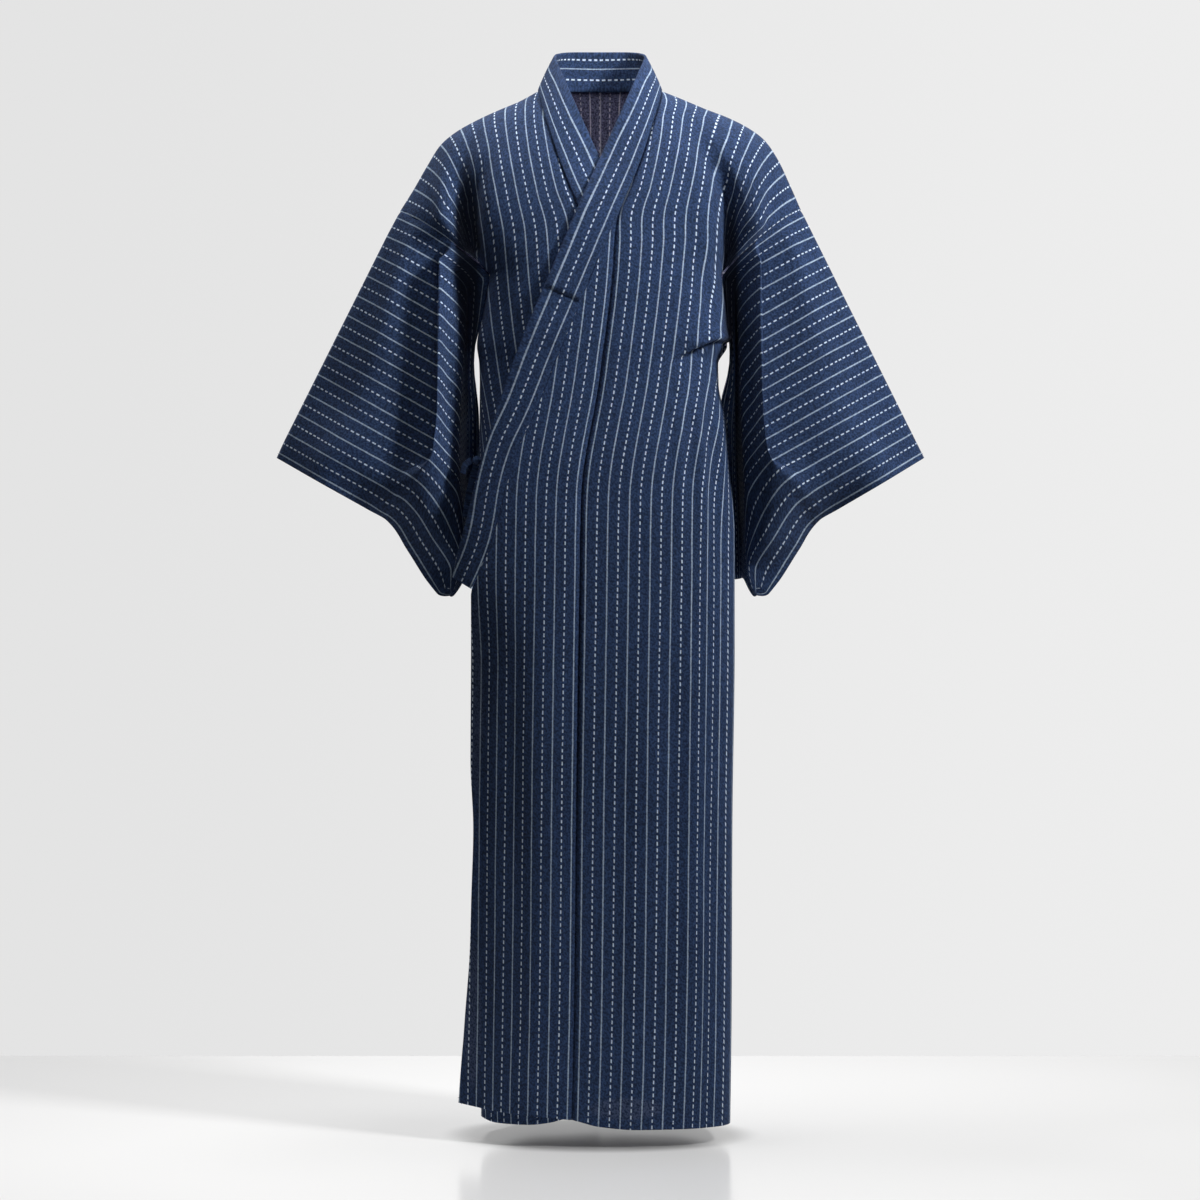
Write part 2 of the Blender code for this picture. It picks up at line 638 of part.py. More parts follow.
def make_tie(collection):
    for name, (wide, path) in TIE_STRAPS.items():
        mesh = bmesh.new()
        add_grid(mesh, strap_grid(wide, path), flip=False)
        strap = wall(name, mesh, TIE_WALL, NAVY, collection)
        strap.modifiers["wall"].offset = 0.0
    mesh = bmesh.new()
    bmesh.ops.create_icosphere(mesh, subdivisions=2, radius=CM)
    bmesh.ops.scale(mesh, vec=KNOT_REACH, verts=mesh.verts)
    bmesh.ops.translate(mesh, vec=tuple(np.array(KNOT) * CM), verts=mesh.verts)
    data = bpy.data.meshes.new("tie_knot")
    mesh.to_mesh(data)
    mesh.free()
    data.shade_smooth()
    data.materials.append(cloth_material("tie_knot_cloth", NAVY, 0.85))
    collection.objects.link(bpy.data.objects.new("tie_knot", data))


def main():
    for item in list(bpy.data.objects):
        bpy.data.objects.remove(item, do_unlink=True)
    collection = bpy.data.collections.new("cotton_yukata_robe")
    bpy.context.scene.collection.children.link(collection)
    for side in (LEFT, RIGHT):
        make_body(side, collection)
        make_overlap(side, collection)
        make_sleeve(side, collection)
    make_collar(collection)
    make_tie(collection)


main()
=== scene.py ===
# %% [markdown]
# # A cotton yukata robe
#
# A yukata is cut from one narrow bolt of cotton, about 37 cm wide, and sewn from straight
# lengths: two body panels that run over the shoulders, two sleeves, two narrow overlap panels
# at the front, and a long collar band. This lesson dresses the plain solids of the robe with
# thin cloth: every piece is rebuilt from the same sizes at a fine spacing, creased along given
# paths, and given a woven, striped finish that follows the grain.

import math

import bmesh
import bpy
import numpy as np
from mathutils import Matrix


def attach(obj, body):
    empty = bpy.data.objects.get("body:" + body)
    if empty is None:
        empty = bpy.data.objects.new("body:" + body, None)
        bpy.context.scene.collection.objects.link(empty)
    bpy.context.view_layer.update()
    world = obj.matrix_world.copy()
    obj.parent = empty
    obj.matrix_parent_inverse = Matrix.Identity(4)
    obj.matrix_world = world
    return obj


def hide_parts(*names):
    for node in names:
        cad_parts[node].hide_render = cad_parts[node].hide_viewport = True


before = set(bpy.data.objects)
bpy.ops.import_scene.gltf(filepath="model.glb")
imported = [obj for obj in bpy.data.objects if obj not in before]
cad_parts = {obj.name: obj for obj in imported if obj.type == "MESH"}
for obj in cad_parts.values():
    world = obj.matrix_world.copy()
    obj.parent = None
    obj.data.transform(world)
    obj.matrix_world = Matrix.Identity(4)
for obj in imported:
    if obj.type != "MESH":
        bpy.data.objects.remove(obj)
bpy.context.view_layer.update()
CM = 0.01
print("solids:", sorted(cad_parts))

# %% [markdown]
# ## The camera
#
# The robe is looked at from straight ahead, a little over four metres away, with a long lens.
# A long lens flattens the depth, so the seams keep their true spacing in the picture.

# %% Camera
CAMERA_PLACE = (0.0, -4.2, -0.667)      # metres; level with the middle of the robe
LENS, SENSOR = 95.45, 36.0              # millimetres
camera_data = bpy.data.cameras.new("front_camera")
camera_data.lens = LENS
camera_data.sensor_width = SENSOR
camera = bpy.data.objects.new("front_camera", camera_data)
camera.location = CAMERA_PLACE
camera.rotation_euler = (math.pi / 2, 0.0, 0.0)
bpy.context.scene.collection.objects.link(camera)
bpy.context.scene.camera = camera
bpy.context.scene.view_settings.view_transform = "Standard"
print("camera at", tuple(round(v, 3) for v in camera.location))

# %% [markdown]
# ## Reading sizes from tables
#
# A robe has few straight edges once it is worn, so its sizes are kept in short tables with
# named columns, and read between the rows along a smooth curve. A monotone cubic is used
# because it never swings past the numbers that it passes through.

# %% Tables and blends


class Table:
    """Sizes in named columns, read between the rows along a smooth curve."""

    def __init__(self, columns, rows):
        self.names = columns.split()
        self.rows = np.array(sorted(rows), dtype=float)
        self.known = {}

    def at(self, name, where):
        key = (name, float(where))
        if key not in self.known:
            column = self.rows[:, self.names.index(name)]
            self.known[key] = smooth(self.rows[:, 0], column, where)
        return self.known[key]


def smooth(knots, values, where):
    """Monotone cubic through the knots, flat beyond both ends."""
    step = np.diff(knots)
    rise = np.diff(values) / step
    slope = np.concatenate(([rise[0]], np.zeros(len(knots) - 2), [rise[-1]]))
    for i in range(1, len(knots) - 1):
        if rise[i - 1] * rise[i] > 0:
            before = 2 * step[i] + step[i - 1]
            after = step[i] + 2 * step[i - 1]
            slope[i] = (before + after) / (before / rise[i - 1] + after / rise[i])
    where = min(max(where, knots[0]), knots[-1])
    i = min(int(np.searchsorted(knots, where, side="right")) - 1, len(step) - 1)
    t = (where - knots[i]) / step[i]
    start = values[i] * (1 + 2 * t) * (1 - t) ** 2 + slope[i] * step[i] * t * (1 - t) ** 2
    end = values[i + 1] * t * t * (3 - 2 * t) - slope[i + 1] * step[i] * t * t * (1 - t)
    return float(start + end)


def mix(a, b, t):
    """Straight blend: a where t is 0, b where it is 1."""
    return a + (b - a) * t


def ease(t):
    """Soft step from 0 to 1 that starts and ends level."""
    t = np.clip(t, 0.0, 1.0)
    return t * t * (3 - 2 * t)


def along(knots, points, where):
    """A point of the smooth line through the given points."""
    return np.array([smooth(knots, points[:, k], where) for k in range(3)])


# %% Sizes of the whole robe, in centimetres
LEFT, RIGHT = 1, -1         # the wearer's sides, and the sign of X there
SIDE_NAME = {LEFT: "left", RIGHT: "right"}
NECK_POINT = (8.2, 0.0, 0.4)    # where neck and shoulder meet
CHEST = -24.0               # height where the slope of the shoulder has become upright
ARMPIT = -33.2              # lowest point where a sleeve is sewn to the body
HEM = -134.8
HEM_SWING = -124.0          # the hem's uneven line starts to show below this height
CENTRE = 0.85               # middle of the body's tube, a little to the wearer's left
LAYER_GAP = 0.65            # outer front to the under front
SEAM = 0.006                # what is left between two sewn edges
SWEEP = 60                  # steps in which a row is walked before it is spaced out
print("hem at", HEM, "cm, armpit at", ARMPIT, "cm")

# %% Body, shoulder and armhole
# half widths to each side, then the depths of the front, the two side seams and the back
BODY = Table("height left right front side_front side_back back", [
    (-24.0, 16.0, 14.4, -11.4, -2.6, 3.6, 11.8),
    (-28.9, 16.4, 15.3, -11.5, -1.5, 2.0, 11.6),
    (-33.2, 16.8, 16.2, -11.5, -0.5, -0.5, 11.3),
    (-35.6, 15.6, 15.9, -11.2, -0.9, -0.9, 11.0),
    (-38.5, 15.6, 15.8, -11.1, -1.6, -1.6, 10.8),
    (-43.0, 16.5, 15.8, -11.2, -2.5, -2.5, 10.9),
    (-49.0, 16.9, 16.0, -11.4, -3.4, -3.4, 11.4),
    (-58.0, 17.6, 16.2, -11.7, -4.2, -4.2, 12.4),
    (-72.0, 17.6, 16.2, -11.8, -4.5, -4.5, 12.9),
    (-96.0, 17.3, 15.9, -11.7, -4.5, -4.5, 12.8),
    (-120.0, 17.2, 15.7, -11.6, -4.5, -4.5, 12.5),
    (-136.0, 17.0, 15.5, -11.4, -4.5, -4.5, 12.3),
])
# from the neck point along the shoulder and the upper arm
SHOULDER = Table("share left_x left_z right_x right_z", [
    (0.00, 8.2, 0.4, 8.2, 0.4),
    (0.12, 11.0, -0.7, 10.6, -0.9),
    (0.25, 13.9, -1.9, 13.5, -2.1),
    (0.38, 16.8, -3.0, 16.3, -3.4),
    (0.50, 19.4, -4.3, 18.8, -4.8),
    (0.62, 21.6, -5.9, 21.0, -6.6),
    (0.75, 23.5, -8.6, 22.8, -9.4),
    (0.88, 25.1, -12.0, 24.7, -12.7),
    (1.00, 26.5, -15.2, 26.4, -15.4),
])
# how far the armhole has gone in and down, and how far it bulges to front and back
ARMHOLE = Table("share inwards down swell", [
    (0.00, 0.00, 0.00, 0.0),
    (0.22, 0.22, 0.17, 2.7),
    (0.48, 0.50, 0.44, 3.6),
    (0.75, 0.78, 0.74, 2.2),
    (1.00, 1.00, 1.00, 0.0),
])
FRONT_FLATNESS = 2.5        # exponents of the rounded sections; 2 is an ellipse
BACK_FLATNESS = 2.3
NECK_SHARE = 0.28           # part of the back's width that lies behind the neck
print("body table:", len(BODY.rows), "levels")

# %% The front edges and the hem
OVERLAP_TOP = -13.3         # the overlap panels begin here, under the collar
COLLAR_END = -65.3          # below it the outer front has a free edge
EDGE_DROP = 3.0             # how far back the free edge of the outer front swings
TUCK_START = 12.5           # from here the under front follows the side of the body
OVERLAP_SEAM = Table("height x", [
    (-13.3, 3.9), (-18.2, 2.1), (-25.0, 1.6), (-38.0, 0.0), (-53.9, -2.4), (-66.7, -2.6),
    (-92.4, -2.95), (-115.7, -3.2), (-136.0, -3.6),
])
FREE_EDGE = Table("height x", [
    (-136.0, -18.5), (-128.5, -18.1), (-121.3, -17.6), (-112.0, -16.9), (-105.5, -16.7),
    (-96.4, -16.4), (-87.4, -16.8), (-65.3, -16.7),
])
# how far the hem is lifted, for the outer layer and for the one behind it
HEM_RISE = Table("x rise", [
    (-18.5, 2.65), (-15.3, 2.2), (-12.9, 1.95), (-9.8, 1.75), (-3.6, 1.25), (0.0, 0.4),
    (5.0, 0.0), (17.0, 0.0),
])
UNDER_RISE = Table("x rise", [
    (-17.0, 1.2), (3.7, 1.25), (6.7, 0.6), (9.0, 0.3), (11.0, 0.25), (13.5, 0.4), (15.3, 0.85),
])
print("hem lifted by up to", HEM_RISE.rows[:, 1].max(), "cm")

# %% The collar's path
# Its seam and its folded neck edge, from the hip (station 0) over the side of the neck to
# the nape. Up to the neck its depth is that of the front it lies on.
COLLAR = Table("station seam_x seam_z neck_x neck_z", [
    (0, -16.6, -65.3, -19.2, -63.7),
    (1, -15.1, -62.0, -18.5, -60.6),
    (2, -13.5, -57.7, -17.4, -56.5),
    (3, -12.2, -52.6, -16.1, -51.2),
    (4, -10.6, -47.4, -14.5, -45.8),
    (5, -8.5, -43.0, -12.9, -40.8),
    (6, -5.7, -36.0, -10.3, -33.6),
    (7, -2.7, -28.9, -7.4, -26.8),
    (8, 1.4, -19.1, -3.3, -17.1),
    (9, 4.8, -11.0, 0.5, -8.2),
    (10, 6.3, -6.6, 3.1, -2.2),
    (11, 7.5, -2.6, 4.9, 2.2),
    (12, 8.2, 0.4, 6.0, 5.3),
    (13, 7.3, 0.9, 5.5, 6.2),
    (14, 4.2, 1.2, 3.6, 6.7),
    (15, 0.0, 1.3, 0.0, 6.8),
])
COLLAR_NECK_DEPTH = {9: -8.1, 10: -6.2, 11: -3.4, 12: 1.0, 13: 4.2, 14: 6.5, 15: 7.1}
COLLAR_SEAM_DEPTH = {12: 0.0, 13: 3.3, 14: 5.8, 15: 6.6}
NECK_SIDE, NAPE = 12, 15    # stations beside the neck and behind it
OVER_COLLAR_END = -28.9     # height where the outer band stops
print("collar stations:", len(COLLAR.rows))

# %% [markdown]
# ## The shape of the worn cloth
#
# The fronts and backs wrap a rounded body: each level is a flattened ellipse, joined to the
# shoulder line by a quarter ellipse that is level on the shoulder and upright at the chest.
# The solids are made from these same formulas, so the fine cloth lies on them everywhere.

# %% Where the front and back layers lie


def half_width(side, height):
    """From the middle plane to the side seam of the wearer's left or right."""
    return BODY.at(SIDE_NAME[side], height)


WAIST = -34.2               # height of the crease above the left hip
DRAWN_IN, BAGS_OUT = 0.25, 0.55     # how far the front goes in below it and out above
RIPPLE, RIPPLE_STEP = 0.22, 3.1     # height and spacing of the waves over the left hip
RIPPLES_FROM = 8.0          # from here towards the side seam
FREE_HALF = 17.0            # half width up to the outer front's free edge
FAR_RISE = 0.4              # the under front ends this far behind the outer one's side


def off_seam(across, own):
    """1 over the front, fading to 0 over the last 1.8 cm before the side seam."""
    return 1 - ease((across - own) / 1.8 + 1)


def waist_tuck(across, height, own):
    """The left front is drawn in below the waist crease and bags out above it."""
    reach = ease((across - 8.5) / 5.0) * off_seam(across, own)
    below = ease((WAIST - height) / 1.2) * (1 - ease((-36.0 - height) / 8.0))
    above = ease((height - WAIST) / 1.0) * (1 - ease((height + 32.0) / 7.0))
    return reach * (DRAWN_IN * below - BAGS_OUT * above)


def side_ripples(across, height, own):
    """Small upright waves below the waist crease."""
    band = ease((across - RIPPLES_FROM) / 2.5) * off_seam(across, own)
    run = ease((-37.0 - height) / 5.0) * (1 - ease((-52.0 - height) / 14.0))
    return RIPPLE * band * run * math.sin(2 * math.pi * (across - RIPPLES_FROM) / RIPPLE_STEP)


def rounded(out, flatness):
    """Height of a flattened ellipse at a share of its half width."""
    return (1 - out ** flatness) ** (1 / flatness)


def front_depth(side, across, height):
    """Depth of a front layer; across is measured towards that layer's own side seam."""
    level = min(height, CHEST)
    centre = CENTRE * side
    own = half_width(side, level)
    edge = BODY.at("side_front", level)
    face = BODY.at("front", level) + (0.0 if side == LEFT else LAYER_GAP)
    if across >= centre:
        out = min((across - centre) / (own - centre), 1.0)
        depth = edge + (face - edge) * rounded(out, FRONT_FLATNESS)
    elif side == LEFT:      # the outer front swings back a little to its free edge
        depth = face + EDGE_DROP * ((centre - across) / (centre + FREE_HALF)) ** 3
    else:                   # the under front turns back round the far side
        far = half_width(LEFT, level) - LAYER_GAP - 0.2
        out = min((centre - across) / (centre + far), 1.0)
        edge += FAR_RISE
        depth = edge + (face - edge) * rounded(out, FRONT_FLATNESS)
    if side == LEFT:
        depth += waist_tuck(across, height, own) + side_ripples(across, height, own)
    if height > CHEST:
        drop = (NECK_POINT[2] - height) / (NECK_POINT[2] - CHEST)
        depth = mix(NECK_POINT[1], depth, math.sqrt(max(0.0, 1 - (1 - drop) ** 2)))
    return depth


def back_depth(side, across, height):
    """Depth of the back, a flattened ellipse from side seam to side seam."""
    centre = CENTRE * side
    out = min(abs(across - centre) / (half_width(side, height) - centre), 1.0)
    edge = BODY.at("side_back", height)
    return mix(edge, BODY.at("back", height), rounded(out, BACK_FLATNESS))


BACK_WAVE, BACK_WAVES = 0.55, 2.5   # height of the folds of the skirt, and how many a half


def back_folds(height, share):
    """Long upright waves that grow down the back and end before the side seam."""
    wave = BACK_WAVE * math.cos(2 * math.pi * BACK_WAVES * share)
    return wave * (1 - ease((share - 0.72) / 0.28)) * ease((-30 - height) / 45)


print("front depth at the chest:", round(front_depth(LEFT, 0.0, CHEST), 2), "cm")

# %% [markdown]
# ## Rows and columns of cloth
#
# A sheet that shows its creases needs a fine, even net of points. Here a row of a panel is
# walked in sixty steps, then read again at chosen shares of its length. The shares crowd
# together at both edges, where the cloth turns down into a seam.

# %% Spacing of the fine net


def pinned(width, cells, near=(0.0, 0.06, 0.14, 0.26, 0.45)):
    """Shares from 0 to 1 that crowd together near both edges of a strip."""
    close = np.array(near) / width
    middle = np.linspace(close[-1], 1 - close[-1], cells)
    return np.concatenate((close[:-1], middle, 1 - close[:-1][::-1]))


def resample(points, shares):
    """Points at given shares of a polyline's length."""
    points = np.array(points)
    reach = np.concatenate(([0.0], np.cumsum(np.linalg.norm(np.diff(points, axis=0), axis=1))))
    marks = np.asarray(shares) * reach[-1]
    return np.stack([np.interp(marks, reach, points[:, k]) for k in range(3)], axis=1)


def lengths(net, axis):
    """How far each point lies from the first row (axis 0) or column (axis 1), on the cloth."""
    steps = np.linalg.norm(np.diff(net, axis=axis), axis=2)
    start = np.zeros((net.shape[0], 1) if axis == 1 else (1, net.shape[1]))
    return np.concatenate((start, np.cumsum(steps, axis=axis)), axis=axis)


OVERLAP_TURN = 0.711        # share of the slope's quarter turn where the overlap panels begin
FRONT_SHARES = pinned(22.0, 46)
NECK_SHARES = np.linspace(0.0, 1.0, 19)[:-1]
BACK_SHARES = np.concatenate((NECK_SHARES * NECK_SHARE, mix(NECK_SHARE, 1.0, FRONT_SHARES)))
OVERLAP_SHARES = pinned(14.0, 30)
# rows: turns over the shoulder's slope, then heights below it, closest at the waist and hem
TURNS = np.unique(np.concatenate((np.linspace(0, 1, 34), [OVERLAP_TURN])))
NEAR_HEM = HEM + np.array([1.3, 0.9, 0.5, 0.2, 0.0])
LEVELS = np.concatenate((np.arange(CHEST, -30.0, -0.75)[1:], np.arange(-30.0, -39.0, -0.3),
                         np.arange(-39.0, NEAR_HEM[0] + 0.3, -0.75), NEAR_HEM))
print("front columns", len(FRONT_SHARES), "rows", len(TURNS) + len(LEVELS))

# %% Lines that the panels share


def shoulder_point(side, share):
    """A point of the line from the neck over the shoulder to the end of the armhole."""
    name = SIDE_NAME[side]
    return np.array([SHOULDER.at(name + "_x", share), 0.0, SHOULDER.at(name + "_z", share)])


def armhole_point(side, share, face):
    """A point of the armhole edge between shoulder and chest; face is -1 front, 1 back."""
    top = shoulder_point(side, 1.0)
    depth = BODY.at("side_front" if face < 0 else "side_back", CHEST)
    return np.array([
        mix(top[0], half_width(side, CHEST), ARMHOLE.at("inwards", share)),
        mix(0.0, depth, share) + face * ARMHOLE.at("swell", share),
        mix(top[2], CHEST, ARMHOLE.at("down", share)),
    ])


def slope_point(top, chest, turn):
    """From a point of the shoulder line down to the chest, along a quarter ellipse."""
    angle = turn * math.pi / 2
    return np.array([
        mix(top[0], chest[0], turn),
        mix(top[1], chest[1], math.sin(angle)),
        mix(top[2], chest[2], 1 - math.cos(angle)),
    ])


def slope_height(turn):
    """Height at which the slope below the neck point has made this share of its turn."""
    return mix(NECK_POINT[2], CHEST, 1 - math.cos(turn * math.pi / 2))


# the shallow fold that runs from the shoulder down into the underarm
ARM_FOLD = Table("height left right depth", [
    (-28.0, 15.0, 14.0, 0.0), (-24.0, 15.6, 14.6, 0.9), (-20.0, 16.6, 16.4, 1.5),
    (-15.5, 16.8, 17.4, 1.3), (-11.5, 15.9, 18.1, 0.9), (-8.5, 14.2, 17.9, 0.5),
    (-3.5, 12.0, 16.0, 0.0),
])
ARM_FOLD_WIDTH = 1.8
BACK_ARM_FOLD = 0.6         # share of its depth that the back has


def arm_fold(side, point, share):
    """How deep the fold towards the underarm is at a point of the chest."""
    middle = ARM_FOLD.at(SIDE_NAME[side], point[2])
    profile = math.exp(-((point[0] - middle) / ARM_FOLD_WIDTH) ** 2)
    profile *= (1 - ease((share - 0.82) / 0.18)) * ease(abs(point[1]) / 6)
    return ARM_FOLD.at("depth", point[2]) * profile


CHEST_COLLAR = COLLAR.rows[:NECK_SIDE + 1]      # the stations from the hip to the neck


def collar_seam_x(height):
    """Where the collar is sewn to the front, at a height."""
    return smooth(CHEST_COLLAR[:, 2], CHEST_COLLAR[:, 1], height)


def seam_x(height):
    """A front panel's inner edge: on the collar above, on the overlap panel below."""
    return collar_seam_x(height) if height >= OVERLAP_TOP else OVERLAP_SEAM.at("x", height)


def tucked(across):
    """The under front's far edges stay inside the outer front, round its side."""
    return across if across > -TUCK_START else -TUCK_START + 0.35 * (across + TUCK_START)


# %% The collar's two edges


def collar_controls(side, edge, first, last):
    """Stations and points of the collar's seam edge or neck edge, laid on the front."""
    known = COLLAR_NECK_DEPTH if edge == "neck" else COLLAR_SEAM_DEPTH
    points = []
    for k in range(first, last + 1):
        across, height = COLLAR.at(edge + "_x", k), COLLAR.at(edge + "_z", k)
        across = tucked(across) if side == RIGHT else across
        depth = known[k] if k in known else front_depth(side, across, height)
        if k in known and k < NECK_SIDE and side == RIGHT:
            depth += LAYER_GAP
        points.append((across, depth, height))
    return np.arange(first, last + 1, dtype=float), np.array(points)


NECK_EDGE = {side: collar_controls(side, "neck", 0, NAPE) for side in (LEFT, RIGHT)}
NAPE_SEAM = collar_controls(LEFT, "seam", NECK_SIDE, NAPE)


def chest_edges(side, height):
    """Seam edge and neck edge of the collar where its seam passes a height."""
    station = smooth(CHEST_COLLAR[:, 2], CHEST_COLLAR[:, 0], height)
    across = collar_seam_x(height)
    across = tucked(across) if side == RIGHT else across
    seam = np.array([across, front_depth(side, across, height), height])
    return seam, along(*NECK_EDGE[side], station)


def nape_edges(station):
    """Seam edge and neck edge of the collar behind the neck point."""
    return along(*NAPE_SEAM, station), along(*NECK_EDGE[LEFT], station)


print("collar width at the chest:",
      round(float(np.linalg.norm(np.subtract(*chest_edges(LEFT, CHEST)))), 2), "cm")

# %% Net of a front panel
UNDER_BACK = 1.0            # how far the under front hangs back at the hem, in the shade


def front_row(side, inner, height, shares):
    """One level row of a front, from its inner edge to the side seam."""
    outer = half_width(side, height)
    sweep = [mix(inner, outer, math.sin(t * math.pi / 2)) for t in np.linspace(0, 1, SWEEP)]
    return resample([(a, front_depth(side, a, height), height) for a in sweep], shares)


def inner_pull(side, low, turn):
    """What brings a front panel's inner edge from its plain slope on to the collar seam."""
    plain = slope_point(shoulder_point(side, 0.0), low, turn)
    across = seam_x(plain[2])
    return np.array([across - plain[0], front_depth(side, across, plain[2]) - plain[1], 0.0])


def hang_hem(rows, side, behind=False):
    """Lifts the hem towards the outer front's free edge, and sets the side's own sign."""
    rows = np.array(rows)
    table = HEM_RISE if side == LEFT else UNDER_RISE
    below = np.clip((HEM_SWING - rows[..., 2]) / (HEM_SWING - HEM), 0.0, 1.0)
    rise = np.array([[table.at("rise", round(x, 2)) for x in row] for row in rows[..., 0]])
    if side == RIGHT and behind:
        rise = rise * ease((rows[..., 0] - 7) / 6)
    elif side == RIGHT:
        rows[..., 1] += UNDER_BACK * below * (1 - ease((rows[..., 0] - 11) / 5))
    rows[..., 2] += rise * below
    return rows * (side, 1, 1)


def front_net(side):
    """All rows of a front: over the shoulder's slope, then level ones down to the hem."""
    chest = front_row(side, seam_x(CHEST), CHEST, FRONT_SHARES)
    rows = []
    for turn in TURNS:
        outer = slope_point(shoulder_point(side, 1.0), chest[-1], turn)
        swing = armhole_point(side, turn, -1) - outer
        pull = inner_pull(side, chest[0], turn)
        row = []
        for share, low in zip(FRONT_SHARES, chest):
            point = slope_point(shoulder_point(side, share), low, turn)
            point = point + swing * share ** 3 + pull * (1 - share) ** 2
            point[1] += arm_fold(side, point, share)
            row.append(point)
        rows.append(row)
    rows += [front_row(side, seam_x(height), height, FRONT_SHARES) for height in LEVELS]
    return hang_hem(rows, side)


print("hem lift at the free edge:", HEM_RISE.at("rise", -18.5), "cm")

# %% Net of a back panel and of an overlap panel
NAPE_TOP = 0.1              # the back reaches this far in under the collar's seam


def back_row(side, height, shares):
    """One level row of a back, from the centre seam to the side seam."""
    outer = half_width(side, height)
    sweep = [mix(SEAM, outer, math.sin(t * math.pi / 2)) for t in np.linspace(0, 1, SWEEP)]
    even = np.linspace(0, 1, 2 * SWEEP)
    line = resample([(a, back_depth(side, a, height), height) for a in sweep], even)
    line[:, 1] += [back_folds(height, share) for share in even]
    return resample(line, shares)


def back_net(side):
    """All rows of a back, from under the collar and the shoulder down to the hem."""
    chest = back_row(side, CHEST, BACK_SHARES)
    neck = len(NECK_SHARES)
    tops = []
    for k in range(neck):
        top = nape_edges(NAPE - (NAPE - NECK_SIDE) * NECK_SHARES[k])[0]
        tops.append(np.array([max(top[0], SEAM), top[1], top[2] + NAPE_TOP]))
    tops += [shoulder_point(side, share) for share in FRONT_SHARES]
    shares = np.concatenate((np.zeros(neck), FRONT_SHARES))
    rows = []
    for turn in TURNS:
        swing = armhole_point(side, turn, 1) - slope_point(tops[-1], chest[-1], turn)
        row = []
        for top, low, share in zip(tops, chest, shares):
            point = slope_point(top, low, turn) + swing * share ** 3
            point[1] -= BACK_ARM_FOLD * arm_fold(side, point, share)
            row.append(point)
        rows.append(row)
    rows += [back_row(side, height, BACK_SHARES) for height in LEVELS]
    return hang_hem(rows, side, behind=True)


def overlap_net(side):
    """All rows of an overlap panel, between the free edge and the seam to the front."""
    heights = [slope_height(t) for t in TURNS if t > OVERLAP_TURN + 0.019] + list(LEVELS)
    rows = []
    for height in heights:
        seam = seam_x(height) - SEAM
        edge = collar_seam_x(height) if height >= COLLAR_END else FREE_EDGE.at("x", height)
        edge = (tucked(edge) if side == RIGHT else edge) + SEAM
        edge = min(edge, seam - 0.2)
        sweep = [mix(edge, seam, t) for t in np.linspace(0, 1, SWEEP)]
        rows.append(resample([(a, front_depth(side, a, height), height) for a in sweep],
                             OVERLAP_SHARES))
    return hang_hem(rows, side)


nets = {}
for side in (LEFT, RIGHT):
    nets["front", side] = front_net(side)
    nets["back", side] = back_net(side)
    nets["overlap", side] = overlap_net(side)
print({name: net.shape for name, net in nets.items()})

# %% [markdown]
# ## The deep folds beside the arms
#
# Where the chest meets the arm a yukata has spare cloth, because its sleeves are set in with no
# shaping. The cloth falls into one deep fold at each side. It is much deeper than the other
# creases, so it has a table of its own, which also says how much cloth the fold swallows: the
# stripes that enter it come out again further on.

# %% The fold and the ridge beyond it, over the arm
ARM_VALLEY = Table("height valley_x depth ridge_x ridge hidden", [
    (-28.0, 15.8, 0.0, 20.9, 0.0, 8.0), (-24.0, 16.3, 1.4, 20.9, 0.6, 7.0),
    (-20.2, 16.8, 2.6, 20.9, 1.3, 3.8), (-17.5, 16.8, 2.5, 21.0, 1.4, 1.6),
    (-15.0, 16.7, 2.0, 21.1, 1.2, 0.6), (-11.5, 15.6, 0.9, 20.8, 0.8, 0.0),
    (-8.5, 14.0, 0.3, 20.2, 0.3, 0.0), (-4.0, 11.8, 0.0, 19.0, 0.0, 0.0),
])
VALLEY_WIDTH = 1.15
RIDGE_WIDTHS = (0.7, 1.7)   # beyond the crest and before it
VALLEY_FROM, VALLEY_LOW = 9, -28    # nothing changes nearer the middle or further down


def arm_valley(net, side):
    """Pushes the chest in where it meets the arm, and the cloth over the arm out.

    The first result fades the change out towards the armhole's seam.
    """
    net = net.copy()
    for row in net:
        for point in row:
            across, height = side * point[0], point[2]
            if across < VALLEY_FROM or height < VALLEY_LOW:
                continue
            middle, depth, crest, ridge = (ARM_VALLEY.at(name, round(height, 2))
                                           for name in ("valley_x", "depth", "ridge_x", "ridge"))
            low = math.exp(-((across - middle) / VALLEY_WIDTH) ** 2)
            over = across - crest
            high = math.exp(-(over / RIDGE_WIDTHS[0 if over > 0 else 1]) ** 2)
            point[1] += low * depth - high * ridge
    edge = ease((lengths(net, 1)[:, -1:] - lengths(net, 1)) / 1.5)[..., None]
    return edge, net


print("deepest fold:", ARM_VALLEY.rows[:, 2].max(), "cm")

# %% [markdown]
# ## Stripes that follow the thread
#
# On the real robe the stripes run along the warp of the cloth, so they show how each panel was
# cut and how it bends. Every point of a net gets two cloth coordinates in centimetres: how far
# it lies across the bolt, and how far along it. The material draws the stripes from these.

# %% Cloth coordinates of a front
PITCH = 2.76                # one solid line to the next; a dashed line runs between them
FIRST_LINE = 0.7            # the first solid line, from the overlap seam
NECK_CLOTH = 3.6            # cloth coordinate at the neck point
SHOULDER_CLOTH = 20.7       # cloth from there along the shoulder to the armhole
COLLAR_CLOTH = 3.65         # cloth that the collar hides beside the neck
BOLT_EDGE = 24.2            # cloth from a front panel's seam to its armhole or side


def line_shift(side):
    """The stripes of the right half start half a pitch later than those of the left."""
    return FIRST_LINE + (0.0 if side == LEFT else PITCH / 2)


